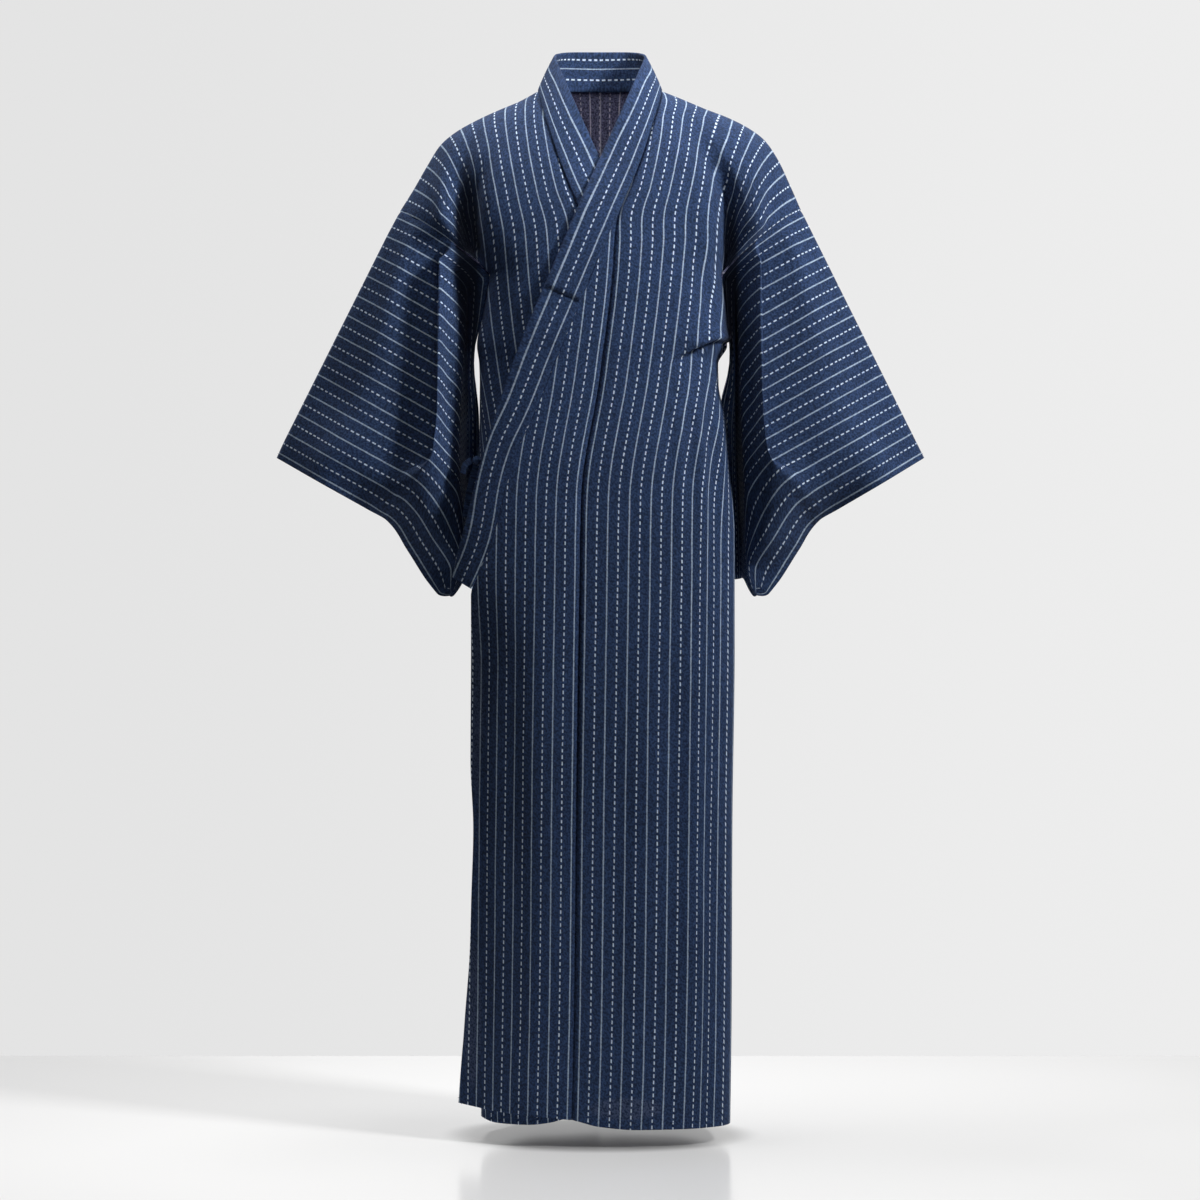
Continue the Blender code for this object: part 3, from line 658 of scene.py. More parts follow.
def across_front(net):
    """Across the bolt: level with the eye on the chest, true to length further down."""
    level = net[..., 2].mean(axis=1)
    true = np.diff(lengths(net, 1), axis=1)
    plain = np.abs(np.diff(net[..., 0], axis=1))
    across = np.cumsum(mix(plain, true, ease((-30 - level) / 30)[:, None]), axis=1)
    across = np.concatenate((np.zeros((len(net), 1)), across), axis=1)
    late = ease((FRONT_SHARES - 0.72) / 0.28) * ease((-36 - level) / 20)[:, None]
    across += (BOLT_EDGE - across[:, -1:]) * late
    lift = 1.2 * np.sin(np.pi * np.clip((FRONT_SHARES - 0.6) / 0.4, 0, 1)) ** 2
    return across + lift * ease((-45 - level) / 15)[:, None]


def slope_stripes(net, side, turn, row, reach):
    """One row over the chest's slope, with the cloth that the arm's fold swallows."""
    row = row + (COLLAR_CLOTH * max(0.0, 1 - turn / OVERLAP_TURN) - row[0]) * (
        1 - FRONT_SHARES) ** 3
    past = side * net[:, 0] - [ARM_VALLEY.at("valley_x", round(z, 1)) for z in net[:, 2]]
    low = int(np.sum(past <= 0))
    if low > len(row) - 4:      # here the fold has run out into the armhole
        return row
    hidden = ARM_VALLEY.at("hidden", net[low, 2])
    way = (reach - reach[low]) / (reach[-1] - reach[low])
    return mix(row, mix(row[low] + hidden, BOLT_EDGE, way), ease(past + 0.5))


def front_cloth(net, side):
    """Cloth coordinates of a front panel: across the bolt and along it, in centimetres."""
    across, reach = across_front(net), lengths(net, 1)
    top, chest = NECK_CLOTH + SHOULDER_CLOTH * FRONT_SHARES, across[len(TURNS) - 1].copy()
    for k, turn in enumerate(TURNS):
        across[k] = slope_stripes(net[k], side, turn, mix(top, chest, turn), reach[k])
    if side == LEFT:
        upper = ease((net[..., 2] + 21) / 6) * ease((-1 - net[..., 2]) / 3)
        across += 0.6 * upper * (1 - ease((net[..., 0] - 14) / 3))
    return np.stack((across - line_shift(side), lengths(net, 0)), axis=2)


# %% Cloth coordinates of a back and an overlap
NAPE_CLOTH = -4.9           # where the cloth of a half reaches the middle of the back
OVERLAP_EASE = 1.07         # the slanting overlap is a little wider on the bolt
OVERLAP_START = 14.0        # along the bolt, so that its dashes meet those of the front


def back_cloth(net, side):
    """Cloth coordinates of a back panel; the bolt runs on from the front, over the shoulder."""
    count = len(NECK_SHARES)
    nape = NAPE_CLOTH + (NECK_CLOTH - NAPE_CLOTH) * np.abs(net[0, :count, 0]) / NECK_POINT[0]
    top = np.concatenate((nape, NECK_CLOTH + SHOULDER_CLOTH * FRONT_SHARES))
    even = NAPE_CLOTH + (BOLT_EDGE - NAPE_CLOTH) * BACK_SHARES
    turned = np.concatenate((TURNS, np.ones(len(LEVELS))))[:, None]
    across = mix(top[None], even[None], turned)
    return np.stack((across - line_shift(side), -lengths(net, 0)), axis=2)


def overlap_cloth(net):
    """Cloth coordinates of an overlap panel, measured from its seam to its free edge."""
    reach = lengths(net, 1)
    across = OVERLAP_EASE * (reach[:, -1:] - reach) - FIRST_LINE
    return np.stack((across, lengths(net, 0) + OVERLAP_START), axis=2)


print("one stripe each", PITCH / 2, "cm")

# %% [markdown]
# ## Creases along given paths
#
# Worn cotton creases where the body bends it: at the underarms, along the waist, and in long
# soft waves down the skirt. Each crease is a path over the surface with a width and a height,
# in centimetres. A positive height is a ridge, a negative one a trough, and both fade out at
# their two ends. Pushing the net along its own normals keeps the cloth thin and even.

# %% One crease


def crease(net, width, height, *path):
    """How far each point moves out for one ridge or trough along a path of (x, z) points."""
    spots = net[..., (0, 2)]
    path = np.array(path, dtype=float)
    best = np.full(spots.shape[:2], 1e9)
    reach = np.zeros(spots.shape[:2])
    for k, (a, b) in enumerate(zip(path, path[1:])):
        t = np.clip((spots - a) @ (b - a) / ((b - a) @ (b - a)), 0, 1)
        gap = np.linalg.norm(spots - a - t[..., None] * (b - a), axis=2)
        closer = gap < best
        best = np.where(closer, gap, best)
        reach = np.where(closer, (k + t) / (len(path) - 1), reach)
    return height * np.exp(-(best / width) ** 2) * np.sin(np.pi * reach) ** 0.7


line = np.array([[(0.0, 0.0, -z) for z in (0, 2, 5, 8, 10)]])
print("height along one crease:", crease(line, 1.0, 0.3, (0, 0), (0, -10)).round(2))

# %% Creases of the front
# width, height, then the points (x, z) of the path; x is minus towards the wearer's right
FRONT_CREASES = [
    (1.5, -0.35, (11.0, -3.5), (13.7, -7.8), (15.7, -11), (16.6, -15), (16.6, -21)),
    (1.2, 0.20, (9.2, -5.5), (11.6, -10.5), (13.4, -16.5), (13.6, -23)),
    (1.6, -0.30, (-16.5, -5), (-18.2, -11.5), (-17.3, -15.5), (-16.8, -24)),
    (1.3, 0.22, (-12.8, -8), (-14.6, -13), (-14.8, -18), (-14.2, -25)),
    (0.9, -0.22, (11.8, -17), (12.4, -22.5), (13.9, -27.8), (14.2, -31)),
    (0.9, 0.24, (13.2, -18), (14.4, -24), (15.4, -28), (15.8, -31)),
    (1.8, 0.18, (-9.0, -24), (-5.0, -25.2), (4.0, -23.4), (11.0, -20)),
    (2.2, -0.16, (-7.0, -31), (0.0, -32.5), (6.5, -31.5), (11.0, -29.0)),
    (0.9, -0.40, (13.2, -38.5), (13.8, -43.5), (14.4, -48.5), (14.4, -58)),
    (1.2, 0.26, (12.0, -38.0), (12.7, -44.0), (13.0, -51.0), (12.6, -60)),
    (0.8, 0.20, (15.4, -42), (15.8, -48), (15.9, -56)),
    (2.6, 0.20, (-9.0, -48.5), (-3.0, -49.3), (5.0, -47.5), (12.0, -43.8)),
    (2.0, -0.14, (-7.5, -53), (-1.0, -54.2), (6.0, -52.6), (11.0, -50.4)),
    (0.7, -0.14, (6.0, -36.2), (8.6, -38.3), (10.6, -41.5), (11.3, -45)),
    (1.4, -0.20, (9.8, -62), (9.2, -75), (9.9, -92), (9.0, -112), (8.4, -134)),
    (1.5, 0.20, (12.0, -68), (12.4, -84), (11.6, -101), (12.3, -120), (11.7, -138)),
    (1.6, 0.15, (5.4, -70), (5.9, -88), (5.1, -104), (4.6, -126), (4.4, -138)),
    (1.3, -0.13, (2.0, -78), (2.5, -95), (1.6, -112), (1.9, -138)),
    (0.9, -0.20, (14.6, -92), (14.2, -101), (14.7, -112), (14.1, -128), (14.4, -138)),
    (2.0, 0.20, (-6.6, -60), (-7.4, -80), (-6.8, -104), (-7.8, -138)),
    (1.7, -0.18, (-10.6, -66), (-11.3, -86), (-10.7, -110), (-11.6, -138)),
    (1.4, 0.16, (-13.6, -72), (-14.1, -90), (-13.5, -116), (-14.0, -138)),
    (0.8, 0.12, (-16.0, -78), (-16.3, -96), (-15.8, -110), (-16.6, -132)),
    (0.5, 0.12, (-2.1, -62), (-2.2, -80), (-2.6, -104), (-2.9, -138)),
]
print(len(FRONT_CREASES), "creases in front")

# %% Creases of the back
BACK_CREASES = [
    (1.4, -0.35, (15.5, -8), (15.8, -14), (14.6, -20), (13.4, -27)),
    (1.5, -0.32, (-15.0, -7), (-15.4, -13.5), (-14.2, -20.5), (-12.6, -28)),
    (1.3, 0.24, (11.6, -9), (12.0, -17), (10.4, -26)),
    (1.2, 0.22, (-11.0, -10), (-11.6, -18), (-10.2, -27)),
    (1.0, -0.26, (16.5, -33), (12.5, -35.2), (8.6, -36.0), (4.8, -35.2)),
    (1.1, 0.24, (16.0, -31), (11.0, -32.8), (6.2, -33.2)),
    (1.0, -0.24, (-16.0, -34), (-12.0, -36.6), (-7.6, -37.2), (-4.0, -36.2)),
    (1.1, 0.22, (-15.5, -31.6), (-10.6, -34.0), (-6.0, -34.2)),
    (1.8, -0.18, (-9.0, -26), (-2.0, -28.2), (5.5, -27.2), (10.0, -24.6)),
    (1.6, -0.16, (-7.0, -42), (0.5, -44.0), (7.5, -42.4)),
    (0.9, -0.22, (13.6, -38), (14.0, -46), (13.4, -56)),
    (0.9, -0.20, (-13.0, -39), (-13.6, -47), (-12.8, -58)),
    (1.6, -0.20, (10.6, -60), (11.0, -82), (10.2, -108), (10.8, -138)),
    (1.5, -0.20, (-10.0, -58), (-10.8, -84), (-9.9, -110), (-10.4, -138)),
    (1.3, 0.18, (4.0, -64), (4.5, -90), (3.8, -138)),
    (1.3, 0.18, (-4.4, -70), (-4.0, -96), (-4.9, -138)),
    (0.8, 0.15, (14.8, -70), (15.2, -95), (14.6, -130)),
    (0.8, 0.15, (-14.4, -66), (-14.0, -92), (-14.8, -128)),
]
print(len(BACK_CREASES), "creases behind")

# %% The crease above the hip, and pushing a net along its normals
WAIST_LINE = ((9.0, -36.2), (10.4, -35.4), (12.5, -34.2), (14.6, -33.3), (16.6, -32.9))
WAIST_LIP, WAIST_RECESS = 0.80, 0.60    # how far it stands out above, and is drawn in below


def waist_crease(net):
    """A sharp crease above the hip: the cloth bags out over it and is drawn in below."""
    line_x, line_z = np.array(WAIST_LINE).T
    above = net[..., 2] - np.interp(net[..., 0], line_x, line_z)
    reach = ease((net[..., 0] - 8.4) / 3.8)
    lip = WAIST_LIP * ease(above / 0.5) * np.exp(-np.clip(above, 0, 20) / 1.9)
    recess = WAIST_RECESS * ease((-above + 0.1) / 0.4) * np.exp(-np.clip(-above, 0, 20) / 1.5)
    return reach * (lip - recess)


def outward(net, sign):
    """Unit normals of a net; the sign says which face of it is the outer one."""
    normal = np.cross(np.gradient(net, axis=0), np.gradient(net, axis=1))
    size = np.maximum(np.linalg.norm(normal, axis=2, keepdims=True), 1e-9)
    return sign * normal / size


def creased(net, sign, creases, extra=0.0):
    """The net pushed out along its normals by all its creases, and by something extra."""
    move = sum(crease(net, *row) for row in creases) + extra
    return net + outward(net, sign) * move[..., None]


def groove(net, axis, last, depth, width):
    """A seam's narrow groove along the first or last column (axis 1) or row (axis 0)."""
    reach = lengths(net, axis)
    if last:
        reach = (reach[:, -1:] if axis == 1 else reach[-1:]) - reach
    return -depth * np.exp(-(reach / width) ** 2)


print("waist crease", round(WAIST_LINE[-1][0] - WAIST_LINE[0][0], 1), "cm wide")

# %% [markdown]
# ## From nets to thin cloth
#
# A net becomes a sheet of quads, and a shell of 0.6 mm gives it the two faces of real cotton:
# the inner face gets its own material, because the dye is paler on the wrong side. Along a hem
# the cloth turns inside and runs back up, so the net simply goes on round the edge.

# %% From a net to faces
THICKNESS = 0.06            # centimetres, as everywhere up to here
TURN_IN = 0.15              # the turned-in hem lies this far behind the outer face
HEM_ROWS = 5                # rows that the hem runs back up inside
STITCH_LIFT = 0.012         # how far a stitch stands out of the cloth


def quads(rows, columns, flip):
    """Corner numbers of all the faces of a net."""
    index = np.arange(rows * columns).reshape(rows, columns)
    corners = [index[:-1, :-1], index[1:, :-1], index[1:, 1:], index[:-1, 1:]]
    faces = np.stack([c.ravel() for c in corners], axis=1)
    return faces[:, ::-1] if flip else faces


def turned_in(net, cloth, sign, rows=HEM_ROWS):
    """The hem that goes on round a net's last row and back up inside."""
    inside = net - outward(net, sign) * TURN_IN
    return (np.concatenate((net[-1:], inside[::-1][:rows])),
            np.concatenate((cloth[-1:], cloth[::-1][:rows])))


def raised(net, sign):
    """A net lifted off its outer face, for the stitches."""
    return net + outward(net, sign) * STITCH_LIFT


print("faces of a 3 by 3 net:", len(quads(3, 3, False)))

# %% From faces to a finished piece
WELD = 2e-6                 # metres; points of two patches that are closer become one


def welded(name, patches):
    """One mesh from patches of (points, cloth coordinates, flip)."""
    points, cloth, faces, count = [], [], [], 0
    for net, uv, flip in patches:
        faces.append(quads(*net.shape[:2], flip) + count)
        points.append(net.reshape(-1, 3))
        cloth.append(uv.reshape(-1, 2))
        count += len(points[-1])
    points, cloth, faces = (np.concatenate(part) for part in (points, cloth, faces))
    data = bpy.data.meshes.new(name)
    data.from_pydata((points * CM).tolist(), [], faces.tolist())
    layer = data.uv_layers.new(name="cloth")
    layer.data.foreach_set("uv", cloth[faces.ravel()].ravel())
    mesh = bmesh.new()
    mesh.from_mesh(data)
    bmesh.ops.remove_doubles(mesh, verts=mesh.verts, dist=WELD)
    mesh.to_mesh(data)
    mesh.free()
    data.shade_smooth()
    return data


def applied(piece):
    """Turns what the modifiers make into the piece's own plain mesh."""
    graph = bpy.context.evaluated_depsgraph_get()
    data = bpy.data.meshes.new_from_object(piece.evaluated_get(graph), depsgraph=graph)
    piece.modifiers.clear()
    piece.data = data
    return piece


def finished(name, patches, thickness=THICKNESS):
    """A piece of cloth with its outer face and its wrong side, or a closed tube as it is."""
    piece = bpy.data.objects.new(name, welded(name, patches))
    bpy.context.scene.collection.objects.link(piece)
    piece.data.materials.append(cloth_face)
    piece.data.materials.append(cloth_reverse)
    if thickness:
        shell = piece.modifiers.new("shell", "SOLIDIFY")
        shell.thickness = thickness * CM
        shell.offset = -1.0
        shell.material_offset = 1
        applied(piece)
    return piece


def report(piece):
    """Prints how many triangles a piece has."""
    piece.data.calc_loop_triangles()
    print(f"{piece.name}: {len(piece.data.loop_triangles)} triangles")
    return piece


print("cloth is", THICKNESS * 10, "mm thick")

# %% [markdown]
# ## Shader sums as Python expressions
#
# A material is a net of nodes, but its maths reads better as maths. This small class wraps a
# socket, so that adding or multiplying two of them makes the Math node that does it.

# %% Sockets that can be added and multiplied


class Wire:
    """An output socket in a node tree, or a plain number, with arithmetic."""

    def __init__(self, tree, socket):
        self.tree, self.socket = tree, socket

    def node(self, kind, settings=None, out=0, **values):
        """Makes any node: settings first, then socket values or links by name or index."""
        node = self.tree.nodes.new(kind)
        for name, value in (settings or {}).items():
            setattr(node, name, value)
        for name, value in values.items():
            key = int(name[1:]) if name[0] == "i" and name[1:].isdigit() else name
            target = node.inputs[key if isinstance(key, int) else key.replace("_", " ")]
            self.join(value, target)
        return Wire(self.tree, node.outputs[out])

    def join(self, value, target):
        if isinstance(value, Wire):
            self.tree.links.new(value.socket, target)
        else:
            target.default_value = value

    def maths(self, operation, first, second=0.0, third=0.0):
        return self.node("ShaderNodeMath", {"operation": operation},
                         i0=first, i1=second, i2=third)

    def __add__(self, other):
        return self.maths("ADD", self, other)

    def __sub__(self, other):
        return self.maths("SUBTRACT", self, other)

    def __mul__(self, other):
        return self.maths("MULTIPLY", self, other)

    def __truediv__(self, other):
        return self.maths("DIVIDE", self, other)

    def __radd__(self, other):
        return self.maths("ADD", other, self)

    def __rsub__(self, other):
        return self.maths("SUBTRACT", other, self)

    def __rmul__(self, other):
        return self.maths("MULTIPLY", other, self)

    def __rtruediv__(self, other):
        return self.maths("DIVIDE", other, self)

    def fraction(self):
        return self.maths("FRACT", self)

    def size(self):
        return self.maths("ABSOLUTE", self)

    def between(self, low, high, start=0.0, end=1.0):
        """Eases from start to end as the value goes from low to high."""
        return self.node("ShaderNodeMapRange", {"interpolation_type": "SMOOTHSTEP"},
                         i0=self, i1=low, i2=high, i3=start, i4=end)

    def blend(self, first, second):
        """Colour from first to second as this value goes from 0 to 1."""
        return self.node("ShaderNodeMix", {"data_type": "RGBA"}, out=2,
                         i0=self, i6=first, i7=second)


def noise(start, across, down, slice_at=0.0, detail=2.0):
    """Noise over the cloth; another slice of it gives another pattern."""
    place = start.node("ShaderNodeCombineXYZ", i0=across, i1=down, i2=slice_at)
    return start.node("ShaderNodeTexNoise", Vector=place, Scale=1.0, Detail=detail)


print("operators:", [name for name in vars(Wire) if name.startswith("__r")])

# %% [markdown]
# ## The yukata's cotton
#
# The cloth is indigo cotton with a crepe-like, slubby weave. Thin solid lines and lines of
# short dashes take turns across it, and they waver a little, as dyed threads do. The speckle
# and the bump follow the cloth coordinates, so they keep the size of the thread everywhere.

# %% The printed face and the paler wrong side
NAVY = (0.0180, 0.0365, 0.0920, 1.0)
SOLID_LINE = (0.35, 0.44, 0.56, 1.0)
DASHED_LINE = (0.58, 0.68, 0.82, 1.0)
WRONG_SIDE = (0.165, 0.165, 0.285, 1.0)
WRONG_LINE = (0.85, 0.82, 0.95, 1.0)
DASH = 0.83                 # one dash to the next, along the thread
DASH_HALF = (0.23, 0.32)    # where half a dash ends, softly, as a share of that
SOLID_HALF = (0.055, 0.115)     # where half a line ends, in centimetres
DASHED_HALF = (0.052, 0.110)


def stripe_masks(start, across, down):
    """Where the solid and the dashed lines lie; the dyed threads waver and wear a little."""
    sway = noise(start, across * 0.3, down * 0.16, 3.1) - 0.5
    thread = noise(start, across * 6.0, down * 2.2, 7.7) - 0.5
    wear = noise(start, across * 1.1, down * 2.6, 1.3) - 0.5
    line = across + sway * 0.10 + thread * 0.05
    solid_gap = ((line / PITCH + 0.5).fraction() - 0.5).size() * PITCH
    dashed_gap = ((line / PITCH).fraction() - 0.5).size() * PITCH
    column = start.maths("FLOOR", line / PITCH)
    step = (down / DASH + column * 0.37 + wear * 0.22).fraction()
    dash = (step - 0.5).size().between(*DASH_HALF, 1.0, 0.0)
    solid = (solid_gap + wear * 0.05).between(*SOLID_HALF, 1.0, 0.0)
    dashed = (dashed_gap + wear * 0.05).between(*DASHED_HALF, 1.0, 0.0) * dash
    return solid, dashed


print("one dash each", DASH, "cm")

# %% Painted backlight and painted fold shade of the front
# painted light: where only one layer of cloth hangs, the face is tinted paler, as if lit from
# behind
# centre (x, z) and reach, in metres
BACKLIT_SPOTS = (((0.0335, -1.321), (0.050, 0.015)), ((-0.1660, -1.203), (0.0130, 0.104)),
              ((-0.1600, -0.790), (0.0100, 0.140)))
BACKLIT_TINT = (0.058, 0.076, 0.140, 1.0)      # one layer of cloth, with light behind it
# painted shade: the bottoms of the deep folds beside the arms are darkened in the face's colour
FOLD_SHADE_SPOTS = (((-0.1740, -0.225), (0.0190, 0.150)), ((0.1710, -0.255), (0.0130, 0.130)))
FOLD_SHADE = (0.004, 0.006, 0.014, 1.0)     # the bottom of a fold, where hardly any light comes


def spot_mask(start, spots, core, back):
    """1 at the middle of each spot of the front, 0 from its edge on and behind the front."""
    place = start.node("ShaderNodeSeparateXYZ", i0=start.node("ShaderNodeTexCoord", out=3))
    x, y, z = (Wire(start.tree, output) for output in place.socket.node.outputs)
    mask = 0.0
    for (at_x, at_z), (reach_x, reach_z) in spots:
        away = (x - at_x) / reach_x
        rise = (z - at_z) / reach_z
        mask = (away * away + rise * rise).between(core, 1.1, 1.0, 0.0) + mask
    return mask * y.between(back - 0.02, back, 1.0, 0.0)


# the spots are painted backlight through one layer, and painted shade in the deep folds
print(len(BACKLIT_SPOTS), "thin spots,", len(FOLD_SHADE_SPOTS), "deep folds")

# %% Dye, weave and sheen
ROUGHNESS, SPECULAR = 0.88, 0.18       # cotton is dull
SHEEN, SHEEN_ROUGHNESS, SHEEN_TINT = 0.06, 0.5, (0.55, 0.65, 0.9, 1.0)
WARP_STEP, WEFT_STEP = 0.07, 0.08       # one thread to the next, in centimetres
BUMP_HEIGHT = 0.0006                    # metres


def cotton(name, base, solid, dashed, contrast=1.0, front_spots=False):
    """The cloth's material; the face has painted backlight and painted fold shade on the front."""
    material = bpy.data.materials.new(name)
    material.use_nodes = True
    tree = material.node_tree
    shader = tree.nodes["Principled BSDF"]
    start = Wire(tree, None)
    place = start.node("ShaderNodeUVMap", {"uv_map": "cloth"})
    across = place.node("ShaderNodeSeparateXYZ", i0=place)
    down = Wire(tree, across.socket.node.outputs[1])
    solid_mask, dashed_mask = stripe_masks(start, across, down)

    speckle = noise(start, across * 4.2, down * 3.6, 2.2, 3.0)
    slub = noise(start, across * 2.6, down * 0.9, 5.5)
    cloud = noise(start, across * 0.10, down * 0.07, 9.1)
    shade = (speckle.between(0.32, 0.70, 1 - 0.50 * contrast, 1 + 0.56 * contrast)
             * slub.between(0.3, 0.7, 0.93, 1.07) * cloud.between(0.3, 0.7, 0.94, 1.06))
    mottle = shade.node("ShaderNodeCombineXYZ", i0=shade, i1=shade, i2=shade)
    colour = shade.node("ShaderNodeVectorMath", {"operation": "MULTIPLY"}, i0=base[:3],
                        i1=mottle)
    if front_spots:
        # painted backlight: a paler tint at the single-layer spots of the front
        grain = speckle.between(0.38, 0.62) * 0.8
        colour = (spot_mask(start, BACKLIT_SPOTS, 0.55, -0.01) * grain).blend(colour, BACKLIT_TINT)
    colour = (solid_mask * speckle.between(0.30, 0.62, 0.55, 0.95)).blend(colour, solid)
    colour = (dashed_mask * speckle.between(0.26, 0.5, 0.6, 0.97)).blend(colour, dashed)
    if front_spots:
        # painted shade in the deep folds beside the arms
        fold = spot_mask(start, FOLD_SHADE_SPOTS, 0.2, 0.03) * 0.85
        colour = fold.blend(colour, FOLD_SHADE)
    tree.links.new(colour.socket, shader.inputs["Base Color"])

    warp = start.maths("SINE", across * (2 * math.pi / WARP_STEP))
    weft = start.maths("SINE", down * (2 * math.pi / WEFT_STEP))
    height = warp * weft * 0.2 + speckle * 1.8 + slub * 0.6 + noise(start, across, down, 4.0)
    bump = height.node("ShaderNodeBump", Strength=0.5, Distance=BUMP_HEIGHT, Height=height)
    tree.links.new(bump.socket, shader.inputs["Normal"])
    for socket, value in (("Roughness", ROUGHNESS), ("Specular IOR Level", SPECULAR),
                          ("Sheen Weight", SHEEN), ("Sheen Roughness", SHEEN_ROUGHNESS),
                          ("Sheen Tint", SHEEN_TINT)):
        shader.inputs[socket].default_value = value
    return material


cloth_face = cotton("yukata_face", NAVY, SOLID_LINE, DASHED_LINE, front_spots=True)
cloth_reverse = cotton("yukata_reverse", WRONG_SIDE, WRONG_LINE, WRONG_LINE, 1.2)
print("materials:", cloth_face.name, cloth_reverse.name)

# %% [markdown]
# ## The body panels
#
# One length of cloth makes each half of the robe: up the front, over the shoulder and down the
# back, with a seam in the middle of the back and one at each side. The two nets of a half meet
# on the shoulder line and along the side, where their points are made the same before welding.

# %% Body panels
# depth and width of the grooves that the seams draw in
SEAM_GROOVE, SEAM_PULL = (0.30, 0.20), (0.12, 0.9)
SIDE_GROOVE, BACK_GROOVE = (0.12, 0.35), (0.12, 0.3)
FREE_FALL = 1.9             # how far the free side of the skirt falls back, round the leg
hems, free_edges, cuffs = {}, {}, {}    # where the stitches will run


def body_nets(side):
    """Front and back of one half with creases and seams, and their cloth coordinates."""
    front, back = nets["front", side], nets["back", side]
    edge, valley = arm_valley(front, side)
    front = mix(front, valley, edge)
    cloths = front_cloth(front, side), back_cloth(back, side)
    seam = groove(front, 1, False, *SEAM_GROOVE) + groove(front, 1, False, *SEAM_PULL)
    seam = seam + groove(front, 1, True, *SIDE_GROOVE)
    if side == LEFT:
        seam = seam + waist_crease(front)
    quiet = ease(np.concatenate((TURNS, np.ones(len(LEVELS)))) / 0.2)[:, None, None]
    front_out = mix(front, creased(front, side, FRONT_CREASES, seam), quiet)
    seam = groove(back, 1, False, *BACK_GROOVE) + groove(back, 1, True, *SIDE_GROOVE)
    back_out = mix(back, creased(back, -side, BACK_CREASES, seam), quiet)
    below = front[:, -1, 2] <= ARMPIT + 1e-6
    middle = (front_out[below, -1] + back_out[below, -1]) / 2
    front_out[below, -1] = back_out[below, -1] = middle
    return front_out, back_out, cloths


def body_panel(side):
    """One half: its front and back meet on the shoulder line and along the side."""
    front, back, (front_uv, back_uv) = body_nets(side)
    hems["front", side], hems["back", side] = (front, side), (back, -side)
    mirrored = side == RIGHT
    patches = [(front, front_uv, mirrored), (back, back_uv, not mirrored),
               (*turned_in(front, front_uv, side), mirrored),
               (*turned_in(back, back_uv, -side), not mirrored)]
    return report(finished(f"body_{SIDE_NAME[side]}_cotton", patches))


def overlap_panel(side):
    """The strip on the front edge of one half."""
    net = nets["overlap", side].copy()
    if side == LEFT:
        net[..., 1] += FREE_FALL * ease((-8 - net[..., 0]) / 9) * ease((-62 - net[..., 2]) / 14)
    uv = overlap_cloth(net)
    seam = groove(net, 1, True, *SEAM_GROOVE) + groove(net, 1, True, *SEAM_PULL)
    net = creased(net, side, FRONT_CREASES, seam)
    hems["overlap", side] = (net, side)
    free_edges[side] = net[len(net) // 2 + 6:]      # the skirt's part of the front edge
    mirrored = side == RIGHT
    patches = [(net, uv, mirrored), (*turned_in(net, uv, side), mirrored)]
    return report(finished(f"overlap_{SIDE_NAME[side]}_cotton", patches))


cloth = {}
for side in (LEFT, RIGHT):
    cloth[f"body_{SIDE_NAME[side]}"] = body_panel(side)
    cloth[f"overlap_{SIDE_NAME[side]}"] = overlap_panel(side)

# %% [markdown]
# ## The sleeves
#
# A sleeve is one length folded over the arm. It is sewn to the body down to the armpit, then
# to itself along the inner edge, the bottom and the lower part of the wrist edge. Its two
# layers close on each other there, so the net is pinched near those edges.

# %% Sleeve sizes
# share is 0 at the armhole and 1 at the wrist; these are points of the front layer
SLEEVE = Table("share swell bend_x bend_y bend_z inner_x inner_y inner_z"
               " deep_x deep_y deep_z bottom_x bottom_z", [
    (0.10, 0.8, 20.9, -6.3, -22.4, 17.9, -3.0, -26.8, 17.9, -1.2, -36.0, 18.6, -62.9),
    (0.25, 0.9, 20.9, -7.4, -29.0, 18.1, -3.4, -33.5, 18.1, -1.4, -41.0, 18.8, -63.3),
    (0.40, 1.0, 21.0, -8.2, -35.3, 18.4, -3.6, -40.0, 18.4, -1.5, -47.0, 19.0, -63.9),
    (0.55, 1.0, 21.1, -8.9, -41.3, 18.7, -3.8, -46.5, 18.7, -1.5, -53.0, 19.3, -64.6),
    (0.70, 1.2, 21.7, -9.2, -47.2, 19.0, -4.2, -52.5, 18.9, -1.4, -58.0, 19.7, -65.4),
    (0.85, 2.6, 25.2, -7.0, -51.8, 21.4, -4.6, -57.5, 19.5, -1.0, -62.0, 20.3, -66.3),
    (1.00, 5.0, 28.9, -1.2, -56.2, 26.2, -0.4, -60.2, 23.8, 0.0, -64.0, 21.2, -67.2),
])
SLEEVE_TOP = (26.5, 0.0, -15.2)
WRIST_TOP = (42.9, 1.0, -47.9)
# where a line of cloth over the sleeve has its fold, swell, pleat, bend, inner, deep, bottom
SLEEVE_KNOTS = (0.0, 0.16, 0.27, 0.32, 0.54, 0.72, 1.0)
PLEAT = Table("share depth", [
    (0.0, 0.5), (0.1, 0.8), (0.2, 1.0), (0.6, 1.0), (0.74, 0.8), (0.82, 0.35), (0.9, 0.0),
])
SLEEVE_ROWS = (0.0, 0.08, 0.16, 0.24, 0.32, 0.39, 0.46, 0.54, 0.63, 0.72, 0.80, 0.88,
               0.94, 1.0)
SLOPE_ROWS = (0.0, 0.16, 0.32, 0.48, 0.60, 0.711, 0.85, 1.0)
SLOPE_END = len(SLOPE_ROWS) - 1     # rows of the armhole; then the armpit, then the inner seam
ARMPIT_ROW = 9
WRIST_ROW = 4
INNER_SEAM = ((-41.0, 0.7), (-49.0, 0.6), (-56.5, 0.5), (-62.5, 0.5))
POUCH = 0.8                 # spacing of a sleeve's two layers
print("sleeve from", SLEEVE_TOP, "to", WRIST_TOP)

